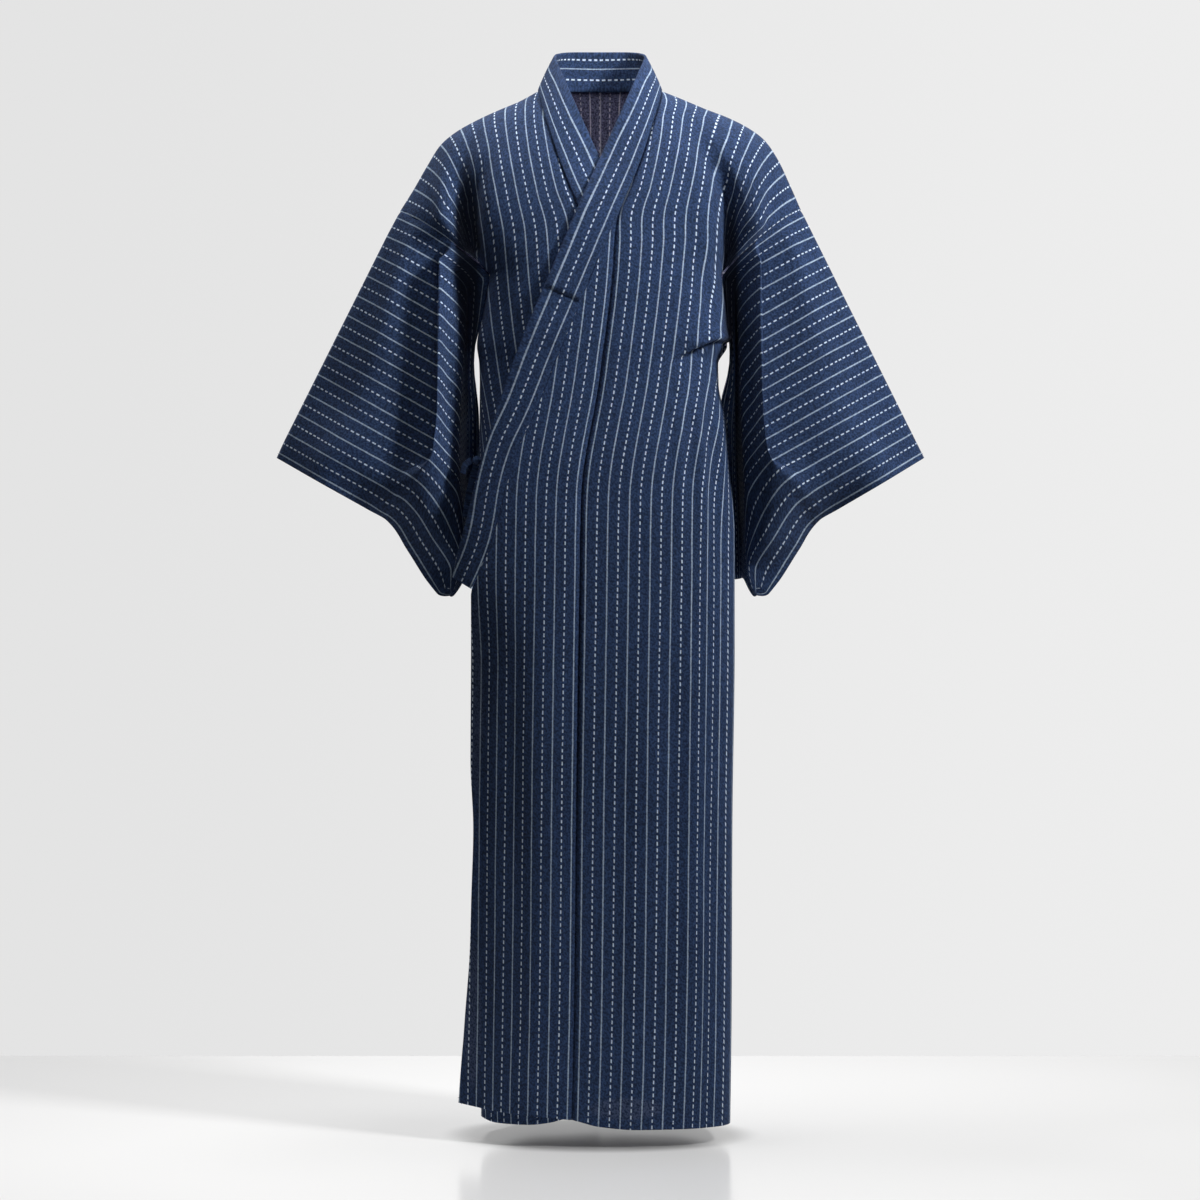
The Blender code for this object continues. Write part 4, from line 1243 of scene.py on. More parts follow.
# %% Lines of cloth round the arm
SLEEVE_FINE = np.concatenate(([0.0, 0.004, 0.012, 0.025, 0.045, 0.07],
                              np.linspace(0.1, 0.94, 62),
                              [0.952, 0.963, 0.974, 0.984, 0.992, 0.997, 1.0]))
SLEEVE_TURNS = np.concatenate((np.linspace(0, 0.22, 16), np.linspace(0.228, 0.32, 26),
                               np.linspace(0.326, 0.38, 8), np.linspace(0.392, 0.94, 40),
                               [0.955, 0.968, 0.98, 0.99, 1.0]))
PLEAT_BEHIND = (-0.5, 3.4, -0.28)       # from the bend to the bottom of the pleat
BACK_PLEAT = 0.6            # share of the pleat that the back layer has
SMOOTHING = 5               # rounds that soften the bend beside the pleat
BODY_SIDE = 15.9            # the inner seam stays outside this half width of the body


def sleeve_line(side, share, face):
    """One line of cloth, from the fold over the arm down to the bag's bottom edge."""
    fold = np.array([mix(a, b, share) for a, b in zip(SLEEVE_TOP, WRIST_TOP)])
    fold[0] = mix(shoulder_point(side, 1.0)[0], WRIST_TOP[0], share)
    bend, inner, deep = (np.array([SLEEVE.at(f"{part}_{axis}", share) for axis in "xyz"])
                         for part in ("bend", "inner", "deep"))
    bottom = np.array([SLEEVE.at("bottom_x", share), 0.0, SLEEVE.at("bottom_z", share)])
    bottom[2] -= 1.2 * (1 - ease(share / 0.45))
    swell = mix(fold, bend, 0.47) + np.array([0.0, -SLEEVE.at("swell", share), 0.0])
    inner[2] += 0.9 * (1 - ease((share - 0.7) / 0.2))
    behind = bend + np.array(PLEAT_BEHIND)
    strength = PLEAT.at("depth", share) * (1.0 if face < 0 else BACK_PLEAT)
    pleat = mix(mix(swell, bend, 0.7), behind, strength)
    points = np.array([fold, swell, pleat, bend, inner, deep, bottom])
    line = np.array([along(np.array(SLEEVE_KNOTS), points, t) for t in SLEEVE_TURNS])
    near = np.exp(-((SLEEVE_TURNS - 0.30) / 0.04) ** 4)[1:-1, None]
    for _ in range(SMOOTHING):
        line[1:-1] += near * (line[:-2] + line[2:] - 2 * line[1:-1]) / 4
    if face > 0:
        line[1:, 1] = POUCH - line[1:, 1]
    if side == RIGHT:       # this sleeve hangs a little nearer to the body
        line[:, 0] -= 0.8 * ease((-45 - line[:, 2]) / 12)
        line[:, 0] -= 0.5 * (1 - ease((line[:, 0] - 17) / 3))
    return line


def armhole_line(side, face):
    """The sleeve's edge: along the armhole to the armpit, then its own inner seam."""
    name = "side_front" if face < 0 else "side_back"
    low = [(half_width(side, z), BODY.at(name, z), z) for z in (CHEST, -28.9, ARMPIT)]
    seam = [(max(half_width(side, z), BODY_SIDE) + clear, 0.0 if face < 0 else POUCH, z)
            for z, clear in INNER_SEAM]
    low, seam = np.array(low), np.array(seam)
    line = []
    for t in SLEEVE_TURNS:
        row = np.interp(t, SLEEVE_ROWS, range(len(SLEEVE_ROWS)))
        if row <= SLOPE_END:
            turn = np.interp(row, range(SLOPE_END + 1), SLOPE_ROWS)
            line.append(armhole_point(side, turn, face))
        elif row <= ARMPIT_ROW:
            line.append(along(np.arange(SLOPE_END, ARMPIT_ROW + 1.0), low, row))
        else:
            knots = np.arange(ARMPIT_ROW, ARMPIT_ROW + 5.0)
            line.append(along(knots, np.vstack((low[-1:], seam)), row))
        line[-1] = line[-1] + np.array([0.25, 0.15 * face, 0]) * ease(1 - abs(row - ARMPIT_ROW))
    return np.array(line)


print(len(SLEEVE_FINE), "lines of cloth,", len(SLEEVE_TURNS), "points on each")

# %% The two layers of a sleeve
SLIP = {LEFT: 1.0, RIGHT: 0.6}      # how far it slips in behind the side of the body
SINK = 2.6                  # how far the inner part of a sleeve hangs behind its front
CLOSED = 0.08               # half the spacing of the layers along a closed edge
PINCH_BOTTOM, PINCH_SIDE = 1.4, 1.3     # how wide the pinching is
TIP = 1.8                   # rounding of the lower corner at the wrist
WRIST_TURN = SLEEVE_ROWS[WRIST_ROW]


def sleeve_net(side, face):
    """One layer of a sleeve, as lines of cloth from the armhole to the wrist."""
    first = sleeve_line(side, 0.1, face)
    edge = armhole_line(side, face)
    lead = first - edge
    edge = edge + lead / np.linalg.norm(lead, axis=1, keepdims=True) * SEAM
    net = [mix(edge, first, s / 0.1) if s < 0.1 else sleeve_line(side, s, face)
           for s in SLEEVE_FINE]
    net = np.array(net)
    share, turn = SLEEVE_FINE[:, None], SLEEVE_TURNS[None, :]
    held = mix(ease(share / 0.08), 1.0, ease((turn - SLEEVE_ROWS[ARMPIT_ROW]) / 0.12))
    slip = SLIP[side] * (1 - ease(share / 0.25)) * ease((turn - 0.74) / 0.08)
    net[..., 0] -= slip
    net[..., 1] += SINK * held * (1 - ease((share - 0.1) / 0.4)) * ease((turn - 0.38) / 0.2)
    return net


def rounded_corner(net, from_wrist, from_bottom):
    """Draws in the bag's lower corner at the wrist, so that it isn't square."""
    i = int(np.argmin(np.abs(from_wrist[:, -1] - TIP)))
    j = int(np.argmin(np.abs(from_bottom[-1] - TIP)))
    a = np.clip(1 - from_wrist[i:, j:] / TIP, 0, 1)
    b = np.clip(1 - from_bottom[i:, j:] / TIP, 0, 1)
    pull = np.maximum(a, b) / np.maximum(np.hypot(a, b), 1e-6)
    pull = np.where(np.minimum(a, b) > 0, pull, 1.0)[..., None]
    net[i:, j:] = net[i, j] + (net[i:, j:] - net[i, j]) * pull
    return net


def pinched(net, face):
    """Brings a layer towards the other one along the closed edges."""
    down, out = lengths(net, 1), lengths(net, 0)
    from_wrist, from_bottom = out[-1:] - out, down[:, -1:] - down
    turns = SLEEVE_TURNS[None, :]
    bottom = 1 - ease(from_bottom / PINCH_BOTTOM)
    inner = (1 - ease(out / PINCH_SIDE)) * ease((turns - SLEEVE_ROWS[ARMPIT_ROW]) / 0.05)
    wrist = (1 - ease(from_wrist / PINCH_SIDE)) * ease((turns - WRIST_TURN) / 0.04)
    weight = np.maximum(np.maximum(bottom, inner), wrist)
    net = net.copy()
    net[..., 1] -= face * (POUCH / 2 - CLOSED) * weight
    return rounded_corner(net, from_wrist, from_bottom)


print("closed edges keep", 2 * CLOSED, "cm between the layers")

# %% The fold over the arm
FOLD_ROWS = 9               # rows on each side of the fold that are rounded
FOLD_ROUNDS = 24
FOLD_WIDTH = 2.5


def rounded_fold(front, back):
    """Rounds the fold over the arm, and keeps how far out it reaches."""
    count = FOLD_ROWS
    loop = np.concatenate((front[:, count:0:-1], back[:, :count + 1]), axis=1)
    soft = loop.copy()
    for _ in range(FOLD_ROUNDS):
        soft[:, 1:-1] = (soft[:, :-2] + 2 * soft[:, 1:-1] + soft[:, 2:]) / 4
    out = loop[:, count:count + 1] - soft[:, count:count + 1]
    gap = lengths(loop, 1)
    gap = np.abs(gap - gap[:, count:count + 1])
    soft = soft + out * np.exp(-(gap / FOLD_WIDTH) ** 2)[..., None]
    fade = ease((count - np.abs(np.arange(2 * count + 1) - count)) / 3)[None, :, None]
    loop = mix(loop, soft, fade)
    front, back = front.copy(), back.copy()
    front[:, count::-1] = loop[:, :count + 1]
    back[:, :count + 1] = loop[:, count:]
    return front, back


print("fold rounded over", 2 * FOLD_ROWS + 1, "rows")

# %% Creases of the sleeves
ARMHOLE_GROOVE = (0.10, 0.35)       # depth and width
# width, height, then the points (x, z); the wearer's right sleeve takes the mirror image
SLEEVE_CREASES = [
    (1.1, 0.30, (30.5, -58.5), (28.6, -55.2), (25.4, -51.0), (22.2, -46.6)),
    (1.2, -0.22, (29.6, -50.6), (26.6, -47.8), (23.4, -43.2)),
    (1.0, 0.16, (34.0, -49.5), (30.0, -46.0), (26.0, -40.0)),
    (1.3, -0.18, (38.0, -47.5), (33.5, -42.5), (29.0, -35.0)),
    (1.5, 0.16, (31.5, -27), (33.5, -33), (34.4, -39)),
    (1.4, -0.16, (24.6, -19), (25.4, -26), (25.0, -34)),
    (1.2, 0.20, (21.8, -20), (21.3, -30), (21.4, -41)),
    (0.8, -0.25, (19.6, -30), (19.4, -38), (19.9, -48)),
    (0.7, 0.22, (18.7, -36), (18.8, -46), (19.3, -57)),
]


def sleeve_layers(side):
    """The front and back layer of one sleeve with their creases, meeting in the fold."""
    layers = []
    scale = np.array([side, 1, 1])
    creases = [(w, h, *[(side * x, z) for x, z in path]) for w, h, *path in SLEEVE_CREASES]
    plain = rounded_fold(*(pinched(sleeve_net(side, face), face) for face in (-1, 1)))
    for face, net in zip((-1, 1), plain):
        net = net * scale
        out = lengths(net, 0)
        calm = ease(lengths(net, 1) / 2.5) * ease((out[-1:] - out) / 1.5)
        move = groove(net, 0, False, *ARMHOLE_GROOVE)
        move = move + sum(crease(net, *row) for row in creases) * calm
        layers.append(net + outward(net, side * face) * move[..., None])
    front, back = layers
    front[:, 0] = back[:, 0] = (front[:, 0] + back[:, 0]) / 2
    return front, back


print(len(SLEEVE_CREASES), "creases on each sleeve")

# %% Sleeves
SLEEVE_CLOTH, SLEEVE_SHIFT = 34.8, 0.98     # cloth across a sleeve, and where its lines start
CUFF_ROWS = 6               # rows that the cuff's hem runs back inside
CUFF_STITCH_ROW = -4
# metres; the front between these, up to the pleat, shows only the printed face
PLEAT_REACH, PLEAT_LOW, PLEAT_HIGH = 0.27, -0.57, -0.2


def closed_edges(front, back, uv, mirrored):
    """Strips that close the bottom, the inner edge and the lower part of the wrist edge."""
    low = np.searchsorted(SLEEVE_TURNS, SLEEVE_ROWS[ARMPIT_ROW] - 1e-6)
    wrist = np.searchsorted(SLEEVE_TURNS, WRIST_TURN - 1e-6)
    bottom, bottom_uv = np.stack((front[:, -1], back[:, -1]), axis=1), (uv[:, -1],) * 2
    inner, inner_uv = np.stack((front[0, low:], back[0, low:])), (uv[0, low:],) * 2
    end, end_uv = np.stack((front[-1, wrist:], back[-1, wrist:])), (uv[-1, wrist:],) * 2
    return [(bottom, np.stack(bottom_uv, axis=1), not mirrored),
            (inner, np.stack(inner_uv), mirrored), (end, np.stack(end_uv), not mirrored)]


def cuff(net, uv, sign, fold_depth):
    """The hem of one layer's half of the cuff, and the line of its stitches."""
    last = np.searchsorted(SLEEVE_TURNS, WRIST_TURN - 1e-6) + 1
    hem, hem_uv = (part[:, :last] for part in turned_in(net, uv, sign, CUFF_ROWS))
    hem[1:, 0, (0, 2)] = hem[1:, 1, (0, 2)]
    hem[1:, 0, 1] = fold_depth
    return hem, hem_uv, raised(net, sign)[CUFF_STITCH_ROW, :last]


def sleeve_piece(side):
    """One sleeve: two layers, three closed edges and the hem round the wrist opening."""
    front, back = sleeve_layers(side)
    across = np.broadcast_to(SLEEVE_CLOTH * SLEEVE_FINE[:, None] - SLEEVE_SHIFT, front.shape[:2])
    front_uv = np.stack((across, lengths(front, 1)), axis=2)
    back_uv = np.stack((across, -lengths(back, 1)), axis=2)
    mirrored = side == RIGHT
    layers = ((-1, front, front_uv, not mirrored), (1, back, back_uv, mirrored))
    patches = [layer[1:] for layer in layers]
    patches += closed_edges(front, back, front_uv, mirrored)
    for face, net, uv, flip in layers:
        hem, hem_uv, cuffs[side, face] = cuff(net, uv, side * face, front[-1, 0, 1])
        patches.append((hem, hem_uv, flip))
    piece = finished(f"sleeve_{SIDE_NAME[side]}_cotton", patches)
    for face in piece.data.polygons:    # no pale thread shows at the pleat's sharp edge
        x, y, z = face.center
        if abs(x) < PLEAT_REACH and PLEAT_LOW < z < PLEAT_HIGH and y < 0:
            face.material_index = 0
    return report(piece)


for side in (LEFT, RIGHT):
    cloth[f"sleeve_{SIDE_NAME[side]}"] = sleeve_piece(side)

# %% [markdown]
# ## The collar
#
# The collar is one straight band, folded in half along its length over the raw edges of the
# robe, so it is a flat tube: outer face, folded neck edge, inner face. A shorter band is
# wrapped over its middle, where it rubs the neck, and can be taken off to be washed.

# %% From hip to hip round the neck
BEHIND = 16                 # points from the side of the neck to the nape


def collar_edges(lowest):
    """Seam edge and neck edge from one end of the collar, round the neck, to the other."""
    turned = [slope_height(t) for t in TURNS[::-1]]
    heights = np.concatenate((np.arange(lowest, CHEST - 0.4, 0.8), turned))
    behind = np.linspace(NECK_SIDE, NAPE, BEHIND)[1:]
    pairs = []
    for side in (LEFT, RIGHT):
        half = [chest_edges(side, h) for h in heights] + [nape_edges(s) for s in behind]
        half = half[-2::-1] if side == RIGHT else half
        pairs += [(seam * (side, 1, 1), neck * (side, 1, 1)) for seam, neck in half]
    return np.array(pairs)


def band_frame(pairs, low):
    """Along a band: its seam edge, width, the directions across and outward, and the way."""
    seam, neck = pairs[:, 0], pairs[:, 1]
    wide = neck - seam
    width = np.linalg.norm(wide, axis=1, keepdims=True)
    wide /= width
    seam = seam + wide * (SEAM + low)
    ahead = np.gradient(neck + seam, axis=0)
    ahead /= np.linalg.norm(ahead, axis=1, keepdims=True)
    up = np.cross(ahead, wide)
    up /= np.linalg.norm(up, axis=1, keepdims=True)
    walked = np.linalg.norm(np.diff((seam + neck) / 2, axis=0), axis=1)
    return seam, width - SEAM - low, wide, up, np.concatenate(([0.0], np.cumsum(walked)))


edges = collar_edges(COLLAR_END)
print(len(edges), "cross rows, from hip to hip")

# %% The band and its lines
ACROSS = np.linspace(0, 1, 15)      # points across one face of the band
ROUND_TURNS = (0.25, 0.5, 0.75)     # and round each of its edges
CROWN = 0.10                # how far the outer face stands up in the middle
FOLD_TAKES = 0.2            # cloth that the neck edge takes up
SLIDE = 0.75                # below the waist the lines slide away from the seam
# where the lines fall: cm from the seam over the outer face, then down the inner face,
# and the cloth coordinate there (a solid line at each whole PITCH, a dashed one between)
FACE_LINES = ((0.0, 1.05, 2.5, 3.95, 5.4, 6.0, 6.92, 8.1, 9.6, 10.8, 12.0),
              (-0.95, 0.0, 1.38, 2.76, 3.55, 3.65, 4.14, 5.52, 6.90, 7.75, 8.0))


def band(pairs, thick, low=0.0, lift=0.0):
    """The closed cross rows of a flat tube between two edges, and their cloth coordinates."""
    seam, width, wide, up, walked = band_frame(pairs, low)
    edge, full = 0.5 * thick, width[:, 0] + low
    slide = SLIDE * ease((-50 - seam[:, 2]) / 12)
    rows, cloth_rows = [], []
    for s in ACROSS:
        reach = edge + (width - 2 * edge) * s
        rows.append(seam + wide * reach + up * (lift + CROWN * math.sin(math.pi * s) ** 0.7))
        cloth_rows.append(reach[:, 0] + low + slide)
    for turn in ROUND_TURNS:
        angle = math.pi * turn
        rows.append(seam + wide * (width - edge + edge * math.sin(angle))
                    + up * (lift - edge * (1 - math.cos(angle))))
        cloth_rows.append(full + edge * turn)
    for s in ACROSS[::-1]:
        reach = edge + (width - 2 * edge) * s
        rows.append(seam + wide * reach + up * (lift - thick))
        cloth_rows.append(2 * full - reach[:, 0] - low + FOLD_TAKES)
    for turn in ROUND_TURNS:
        angle = math.pi * turn
        rows.append(seam + wide * (edge - edge * math.sin(angle))
                    + up * (lift - thick + edge * (1 - math.cos(angle))))
        cloth_rows.append(2 * full + edge * turn)
    rows.append(rows[0])
    cloth_rows.append(cloth_rows[-1] + 0.05)
    net = np.stack(rows, axis=1)
    across = np.interp(np.stack(cloth_rows, axis=1), *FACE_LINES)
    return net, np.stack((across, np.broadcast_to(walked[:, None], across.shape)), axis=2)


print(2 * (len(ACROSS) + len(ROUND_TURNS)), "points round the band")

# %% Collar and over-collar
COLLAR_THICK = 0.22
COVER = 0.075               # what the outer band adds around the collar
COLLAR_START = 0.05         # gap from the seam to the collar, which the over-collar covers


def capped(name, net, uv):
    """A closed tube from cross rows, with both ends shut by a narrow strip."""
    count, turn = len(ACROSS), len(ACROSS) + len(ROUND_TURNS)
    patches = [(net, uv, False)]
    for row, flip in ((0, False), (-1, True)):
        top, low = net[row, :count], net[row, turn:turn + count][::-1]
        patches.append((np.stack((low, top)), np.stack((uv[row, :count],) * 2), flip))
    return report(finished(name, patches, thickness=0))


covered = edges[edges[:, 0, 2] >= OVER_COLLAR_END]
cloth["collar"] = capped("collar_cotton", *band(edges, COLLAR_THICK, low=COLLAR_START))
over = band(covered, COLLAR_THICK + 2 * COVER, lift=COVER)
cloth["over_collar"] = capped("over_collar_cotton", *over)

# %% [markdown]
# ## The tie at the side
#
# A small tie on the wearer's right keeps the under front in place. Its ends are narrow sewn
# bands, finished flat, and the knot is the same band wrapped round itself.

# %% The tie's straps
TIE_WIDTH = 0.78
TIE_THICK = 0.13
STRAP_POINTS = 36           # along a strap
STRAP_ROUND = 25            # and round it
# the direction of a strap's width, and the points of its path
TIE_STRAPS = {
    "tie_front": ((0, 0, 1), ((-13.1, -9.20, -47.9), (-13.9, -8.95, -48.1),
                              (-14.7, -8.55, -48.4), (-15.28, -8.05, -48.6))),
    "tie_side": ((0, 0, 1), ((-16.05, -7.48, -48.65), (-16.3, -6.3, -48.9),
                             (-16.35, -5.0, -49.0), (-16.07, -3.7, -49.1))),
    "tie_end_long": ((1, 0, 0), ((-16.0, -8.05, -49.26), (-16.4, -8.0, -50.6),
                                 (-17.0, -7.9, -53.0), (-17.4, -7.7, -56.0))),
    "tie_end_short": ((0, 0, 1), ((-16.58, -8.0, -48.66), (-17.0, -8.0, -48.8),
                                  (-17.5, -7.9, -49.3), (-17.8, -7.8, -50.3))),
}


def strap(name, wide, path):
    """A flat band with rounded edges along a path."""
    marks = np.linspace(0, len(path) - 1, STRAP_POINTS)
    points = np.array([along(np.arange(float(len(path))), np.array(path), t) for t in marks])
    ahead = np.gradient(points, axis=0)
    ahead /= np.linalg.norm(ahead, axis=1, keepdims=True)
    width = np.array(wide) - ahead * (ahead @ np.array(wide))[:, None]
    width /= np.linalg.norm(width, axis=1, keepdims=True)
    up = np.cross(ahead, width)
    reach = lengths(points[:, None], 0)
    half, flat = TIE_WIDTH / 2, TIE_THICK / 2
    loop = []
    for angle in np.linspace(0, 2 * math.pi, STRAP_ROUND):
        out = math.copysign(abs(math.cos(angle)) ** 0.4, math.cos(angle)) * half
        rise = math.copysign(abs(math.sin(angle)) ** 0.7, math.sin(angle)) * flat
        wave = 0.03 * np.sin(reach * 2.3 + 1.0)
        loop.append(points + width * out + up * (rise + wave))
    net = np.stack(loop, axis=1)
    net[:, -1] = net[:, 0]
    uv = np.stack((lengths(net, 1) * 0.2 + 0.35, np.broadcast_to(reach, net.shape[:2])), axis=2)
    half_round = STRAP_ROUND // 2
    patches = [(net, uv, True)]
    for row, flip in ((0, True), (-1, False)):
        top, low = net[row, :half_round + 1], net[row, half_round:][::-1]
        patches.append((np.stack((low, top)), np.stack((uv[row, :half_round + 1],) * 2), flip))
    return finished(name, patches, thickness=0)


print(len(TIE_STRAPS), "straps, each", TIE_WIDTH, "cm wide")

# %% The tie's knot
KNOT = (-15.95, -8.0, -48.6)
KNOT_REACH = (0.60, 0.50, 0.58)     # its half sizes


def knot(turns=33, around=25):
    """A rounded lump with the grooves of a band that is wrapped round itself."""
    net, uv = np.zeros((turns, around, 3)), np.zeros((turns, around, 2))
    for i, a in enumerate(np.linspace(0, math.pi, turns)):
        for j, b in enumerate(np.linspace(0, 2 * math.pi, around)):
            way = np.array([math.sin(a) * math.cos(b), math.sin(a) * math.sin(b), math.cos(a)])
            wrap = 0.86 + 0.14 * abs(math.cos(2.2 * a + 0.9 * math.sin(b))) ** 0.6
            net[i, j] = np.array(KNOT) + way * KNOT_REACH * (wrap if 0 < a < math.pi else 0.9)
            uv[i, j] = (a * 0.15 + 0.4, b * 0.6)
    net[:, -1] = net[:, 0]
    net[0] = net[0, 0]
    net[-1] = net[-1, 0]
    return finished("tie_knot_cotton", [(net, uv, False)], thickness=0)


for name, (wide, path) in TIE_STRAPS.items():
    cloth[name] = strap(name + "_cotton", wide, path)
cloth["tie_knot"] = knot()
print("tie pieces:", [name for name in cloth if name.startswith("tie")])

# %% [markdown]
# ## Stitches
#
# The hems of a yukata are slip-stitched by hand, so that only a tiny stitch shows on the
# right side every centimetre or so. A Geometry Nodes tree repeats one stitch along each hem
# line: the spacing stays the same wherever the cloth is creased, and one number changes it.

# %% Hem lines
HEM_STITCH_ROW, EDGE_STITCH_COLUMN = -4, 4
stitch_lines = [raised(net, sign)[HEM_STITCH_ROW] for net, sign in hems.values()]
stitch_lines += [raised(free_edges[side], side)[:, EDGE_STITCH_COLUMN] for side in (LEFT, RIGHT)]
stitch_lines += list(cuffs.values())
print(len(stitch_lines), "hem lines")

# %% The thread


def thread_material():
    """Twisted cotton thread in the colour of the cloth."""
    material = bpy.data.materials.new("thread")
    material.use_nodes = True
    shader = material.node_tree.nodes["Principled BSDF"]
    start = Wire(material.node_tree, None)
    place = start.node("ShaderNodeTexCoord", out=3)
    ply = start.node("ShaderNodeTexNoise", Vector=place, Scale=1400.0, Detail=1.0)
    colour = ply.between(0.3, 0.7).blend((0.016, 0.030, 0.072, 1.0), (0.045, 0.075, 0.150, 1.0))
    material.node_tree.links.new(colour.socket, shader.inputs["Base Color"])
    bump = ply.node("ShaderNodeBump", Strength=0.4, Distance=0.0002, Height=ply)
    material.node_tree.links.new(bump.socket, shader.inputs["Normal"])
    shader.inputs["Roughness"].default_value = 0.75
    return material


thread = thread_material()
print("material:", thread.name)

# %% The stitching tree
STITCH = {"Spacing": 1.2, "Length": 0.28, "Thickness": 0.06}     # centimetres


def stitch_tree():
    """Nodes that set one stitch after the other along every line they are given."""
    tree = bpy.data.node_groups.new("hem_stitches", "GeometryNodeTree")
    face = tree.interface
    face.new_socket("Lines", in_out="INPUT", socket_type="NodeSocketGeometry")
    for name, size in STITCH.items():
        socket = face.new_socket(name, in_out="INPUT", socket_type="NodeSocketFloat")
        socket.default_value = size * CM
    face.new_socket("Stitches", in_out="OUTPUT", socket_type="NodeSocketGeometry")
    given = tree.nodes.new("NodeGroupInput")
    lines, spacing, length, thick = (Wire(tree, output) for output in given.outputs[:4])
    curve = lines.node("GeometryNodeMeshToCurve", Mesh=lines)
    curve = lines.node("GeometryNodeResampleCurve", {"mode": "LENGTH"}, Curve=curve,
                       Length=spacing)
    turn = lines.node("FunctionNodeAlignRotationToVector", {"axis": "X"},
                      Vector=lines.node("GeometryNodeInputTangent"))
    ball = lines.node("GeometryNodeMeshIcoSphere", Radius=0.5, Subdivisions=2)
    size = lines.node("ShaderNodeCombineXYZ", i0=length, i1=thick, i2=thick)
    made = lines.node("GeometryNodeInstanceOnPoints", Points=curve, Instance=ball,
                      Rotation=turn, Scale=size)
    made = lines.node("GeometryNodeRealizeInstances", Geometry=made)
    made = lines.node("GeometryNodeSetMaterial", Geometry=made, Material=thread)
    tree.links.new(made.socket, tree.nodes.new("NodeGroupOutput").inputs[0])
    return tree


tree = stitch_tree()
print(len(tree.nodes), "nodes in", tree.name)

# %% All the stitches
points, links = [], []
for line in stitch_lines:
    links += [(len(points) + k, len(points) + k + 1) for k in range(len(line) - 1)]
    points += (line * CM).tolist()
stitch_mesh = bpy.data.meshes.new("hem_stitches")
stitch_mesh.from_pydata(points, links, [])
stitches = bpy.data.objects.new("hem_stitches", stitch_mesh)
bpy.context.scene.collection.objects.link(stitches)
sewing = stitches.modifiers.new("sewing", "NODES")
sewing.node_group = tree
report(applied(stitches))
stitches.data.shade_smooth()

# %% [markdown]
# ## Floor and light
#
# A pale, slightly glossy floor ends behind the robe, and a pale wall of light stands beyond it.
# The wall is the world's own background, so nothing stands in the way when the robe is seen
# from behind. The floor glows a little, as if lit from all round, but not in the robe's shade.

# %% Floor
FLOOR = -1.372
FLOOR_EDGES = (-0.55, 0.72)     # the near and the far one
FLOOR_HALF = 1.7
SHADE_REACH = (0.17, 0.12)      # half sizes of the robe's shade on the floor
GLOW_NEAR, GLOW_FAR, GLOW_SHADE = 0.27, 0.25, 0.05
PAPER = (0.72, 0.715, 0.71, 1.0)
floor_mesh = bpy.data.meshes.new("studio_floor")
floor_mesh.from_pydata([(x, y, FLOOR) for y in FLOOR_EDGES for x in (-FLOOR_HALF, FLOOR_HALF)], [],
                       [(0, 1, 3, 2)])
studio_floor = bpy.data.objects.new("studio_floor", floor_mesh)
bpy.context.scene.collection.objects.link(studio_floor)
paper = bpy.data.materials.new("floor_paper")
paper.use_nodes = True
paper_shader = paper.node_tree.nodes["Principled BSDF"]
paper_shader.inputs["Base Color"].default_value = PAPER
paper_shader.inputs["Roughness"].default_value = 0.18
paper_shader.inputs["Emission Strength"].default_value = 1.0
paper_shader.inputs["Specular IOR Level"].default_value = 0.35
start = Wire(paper.node_tree, None)
parts = start.node("ShaderNodeSeparateXYZ", i0=start.node("ShaderNodeTexCoord", out=3))
x, y, z = (Wire(paper.node_tree, output) for output in parts.socket.node.outputs)
away_x, away_y = x / SHADE_REACH[0], y / SHADE_REACH[1]
away = away_x * away_x + away_y * away_y
glow = y.between(-0.25, 0.2, GLOW_NEAR, GLOW_FAR) * away.between(0.9, 1.6, GLOW_SHADE, 1.0)
glow = glow.node("ShaderNodeCombineColor", i0=glow, i1=glow, i2=glow)
paper.node_tree.links.new(glow.socket, paper_shader.inputs["Emission Color"])
floor_mesh.materials.append(paper)
print("floor at", FLOOR, "m")

# %% Lamps


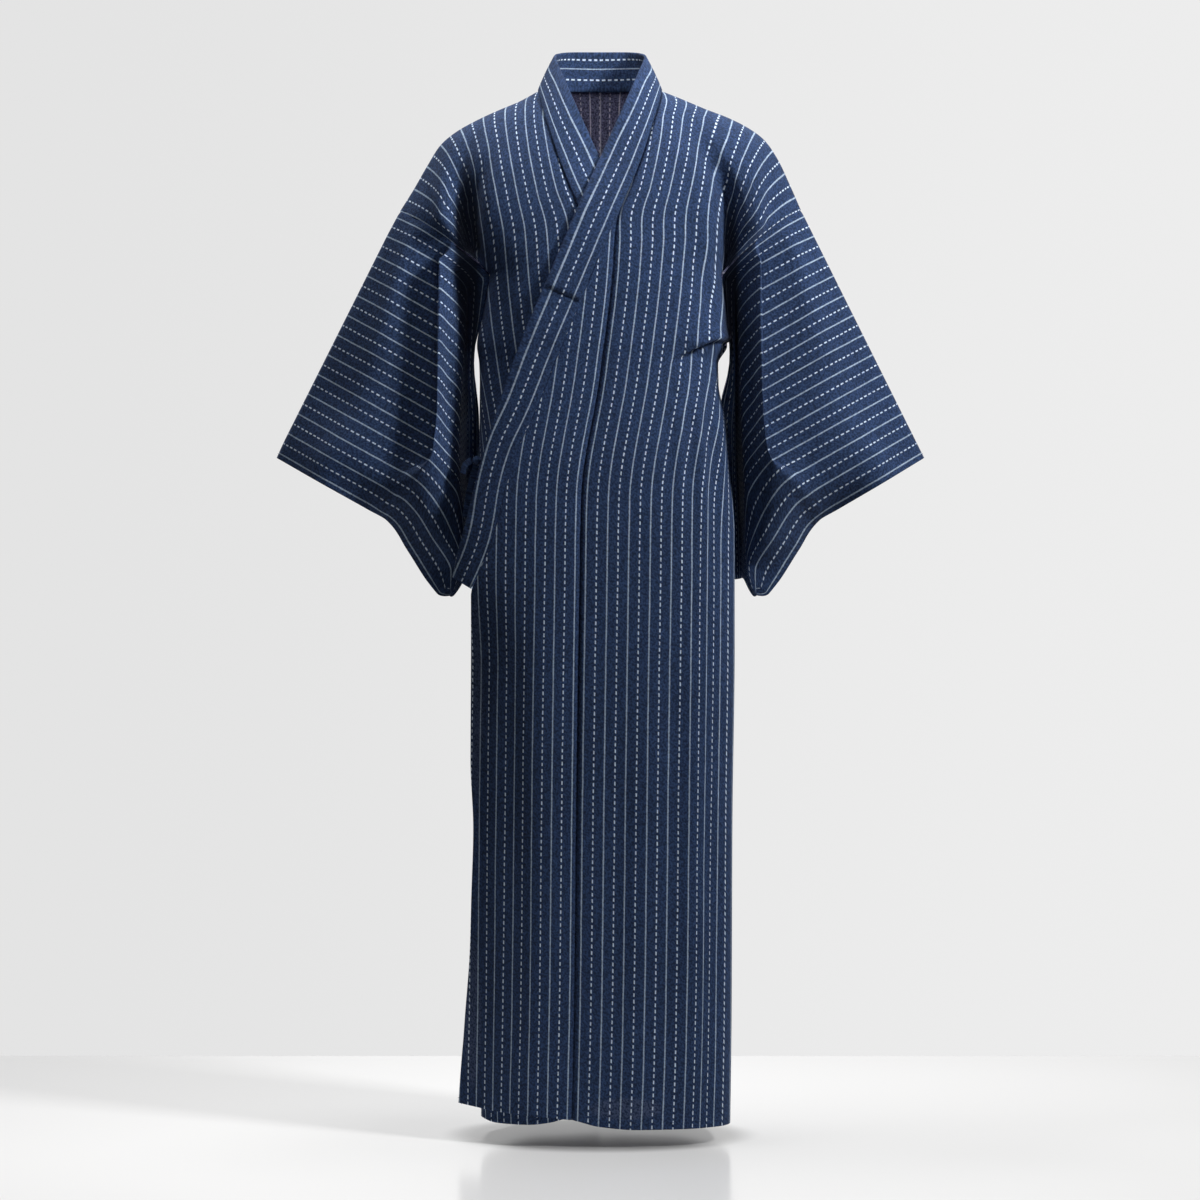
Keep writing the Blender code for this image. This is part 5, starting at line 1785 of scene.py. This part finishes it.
def area_light(name, place, target, size, power, spread):
    """A lamp that faces a point; a smaller spread, in degrees, keeps its light together."""
    light = bpy.data.lights.new(name, "AREA")
    light.shape = "RECTANGLE"
    light.size, light.size_y = size
    light.energy = power
    light.spread = math.radians(spread)
    lamp = bpy.data.objects.new(name, light)
    lamp.location = place
    way = np.array(target) - np.array(place)
    lamp.rotation_euler = (math.atan2(math.hypot(way[0], way[1]), -way[2]), 0.0,
                           math.atan2(way[1], way[0]) - math.pi / 2)
    bpy.context.scene.collection.objects.link(lamp)
    return lamp


lights = [
    area_light("key", (2.3, -1.5, 1.15), (0, 0, 0.0), (0.5, 0.6), 19.5, 70),
    area_light("top", (-0.3, 0.1, 1.3), (-0.05, 0, -0.2), (1.0, 0.5), 10.5, 95),
    area_light("front", (0.4, -3.0, 0.6), (0, 0, -0.06), (0.3, 0.3), 0.35, 22),
]
print("lights:", [lamp.name for lamp in lights])

# %% The pale wall
WALL_RIGHT, WALL_LEFT = 0.775, 0.845    # brightness at the wearer's right and left
WALL_SEEN = 0.78            # and of the part that only a lens sees
world = bpy.data.worlds.new("studio")
bpy.context.scene.world = world
world.use_nodes = True
# only a window of the world behind the robe is bright; a lens sees the rest as pale too
start = Wire(world.node_tree, None)
parts = start.node("ShaderNodeSeparateXYZ", i0=start.node("ShaderNodeTexCoord"))
x, y, z = (Wire(world.node_tree, output) for output in parts.socket.node.outputs)
wall = y.between(0.45, 0.85, 0.06, 1.0) * x.between(-0.19, 0.19, WALL_RIGHT, WALL_LEFT)
seen = start.node("ShaderNodeLightPath") * WALL_SEEN
pale = wall.maths("MAXIMUM", wall, seen * y.between(0.85, 0.5))
pale = pale.node("ShaderNodeCombineColor", i0=pale, i1=pale, i2=pale)
world.node_tree.links.new(pale.socket, world.node_tree.nodes["Background"].inputs["Color"])
print("world:", world.name)

# %% [markdown]
# ## Cloth in place of the solids
#
# Each fine piece takes the place of its solid, which is hidden, and hangs from the root.

for name, piece in cloth.items():
    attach(piece, "root")
    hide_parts(name)
print("replaced:", list(cloth))

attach(stitches, "root")
print(len(cloth), "pieces of cloth handed over")
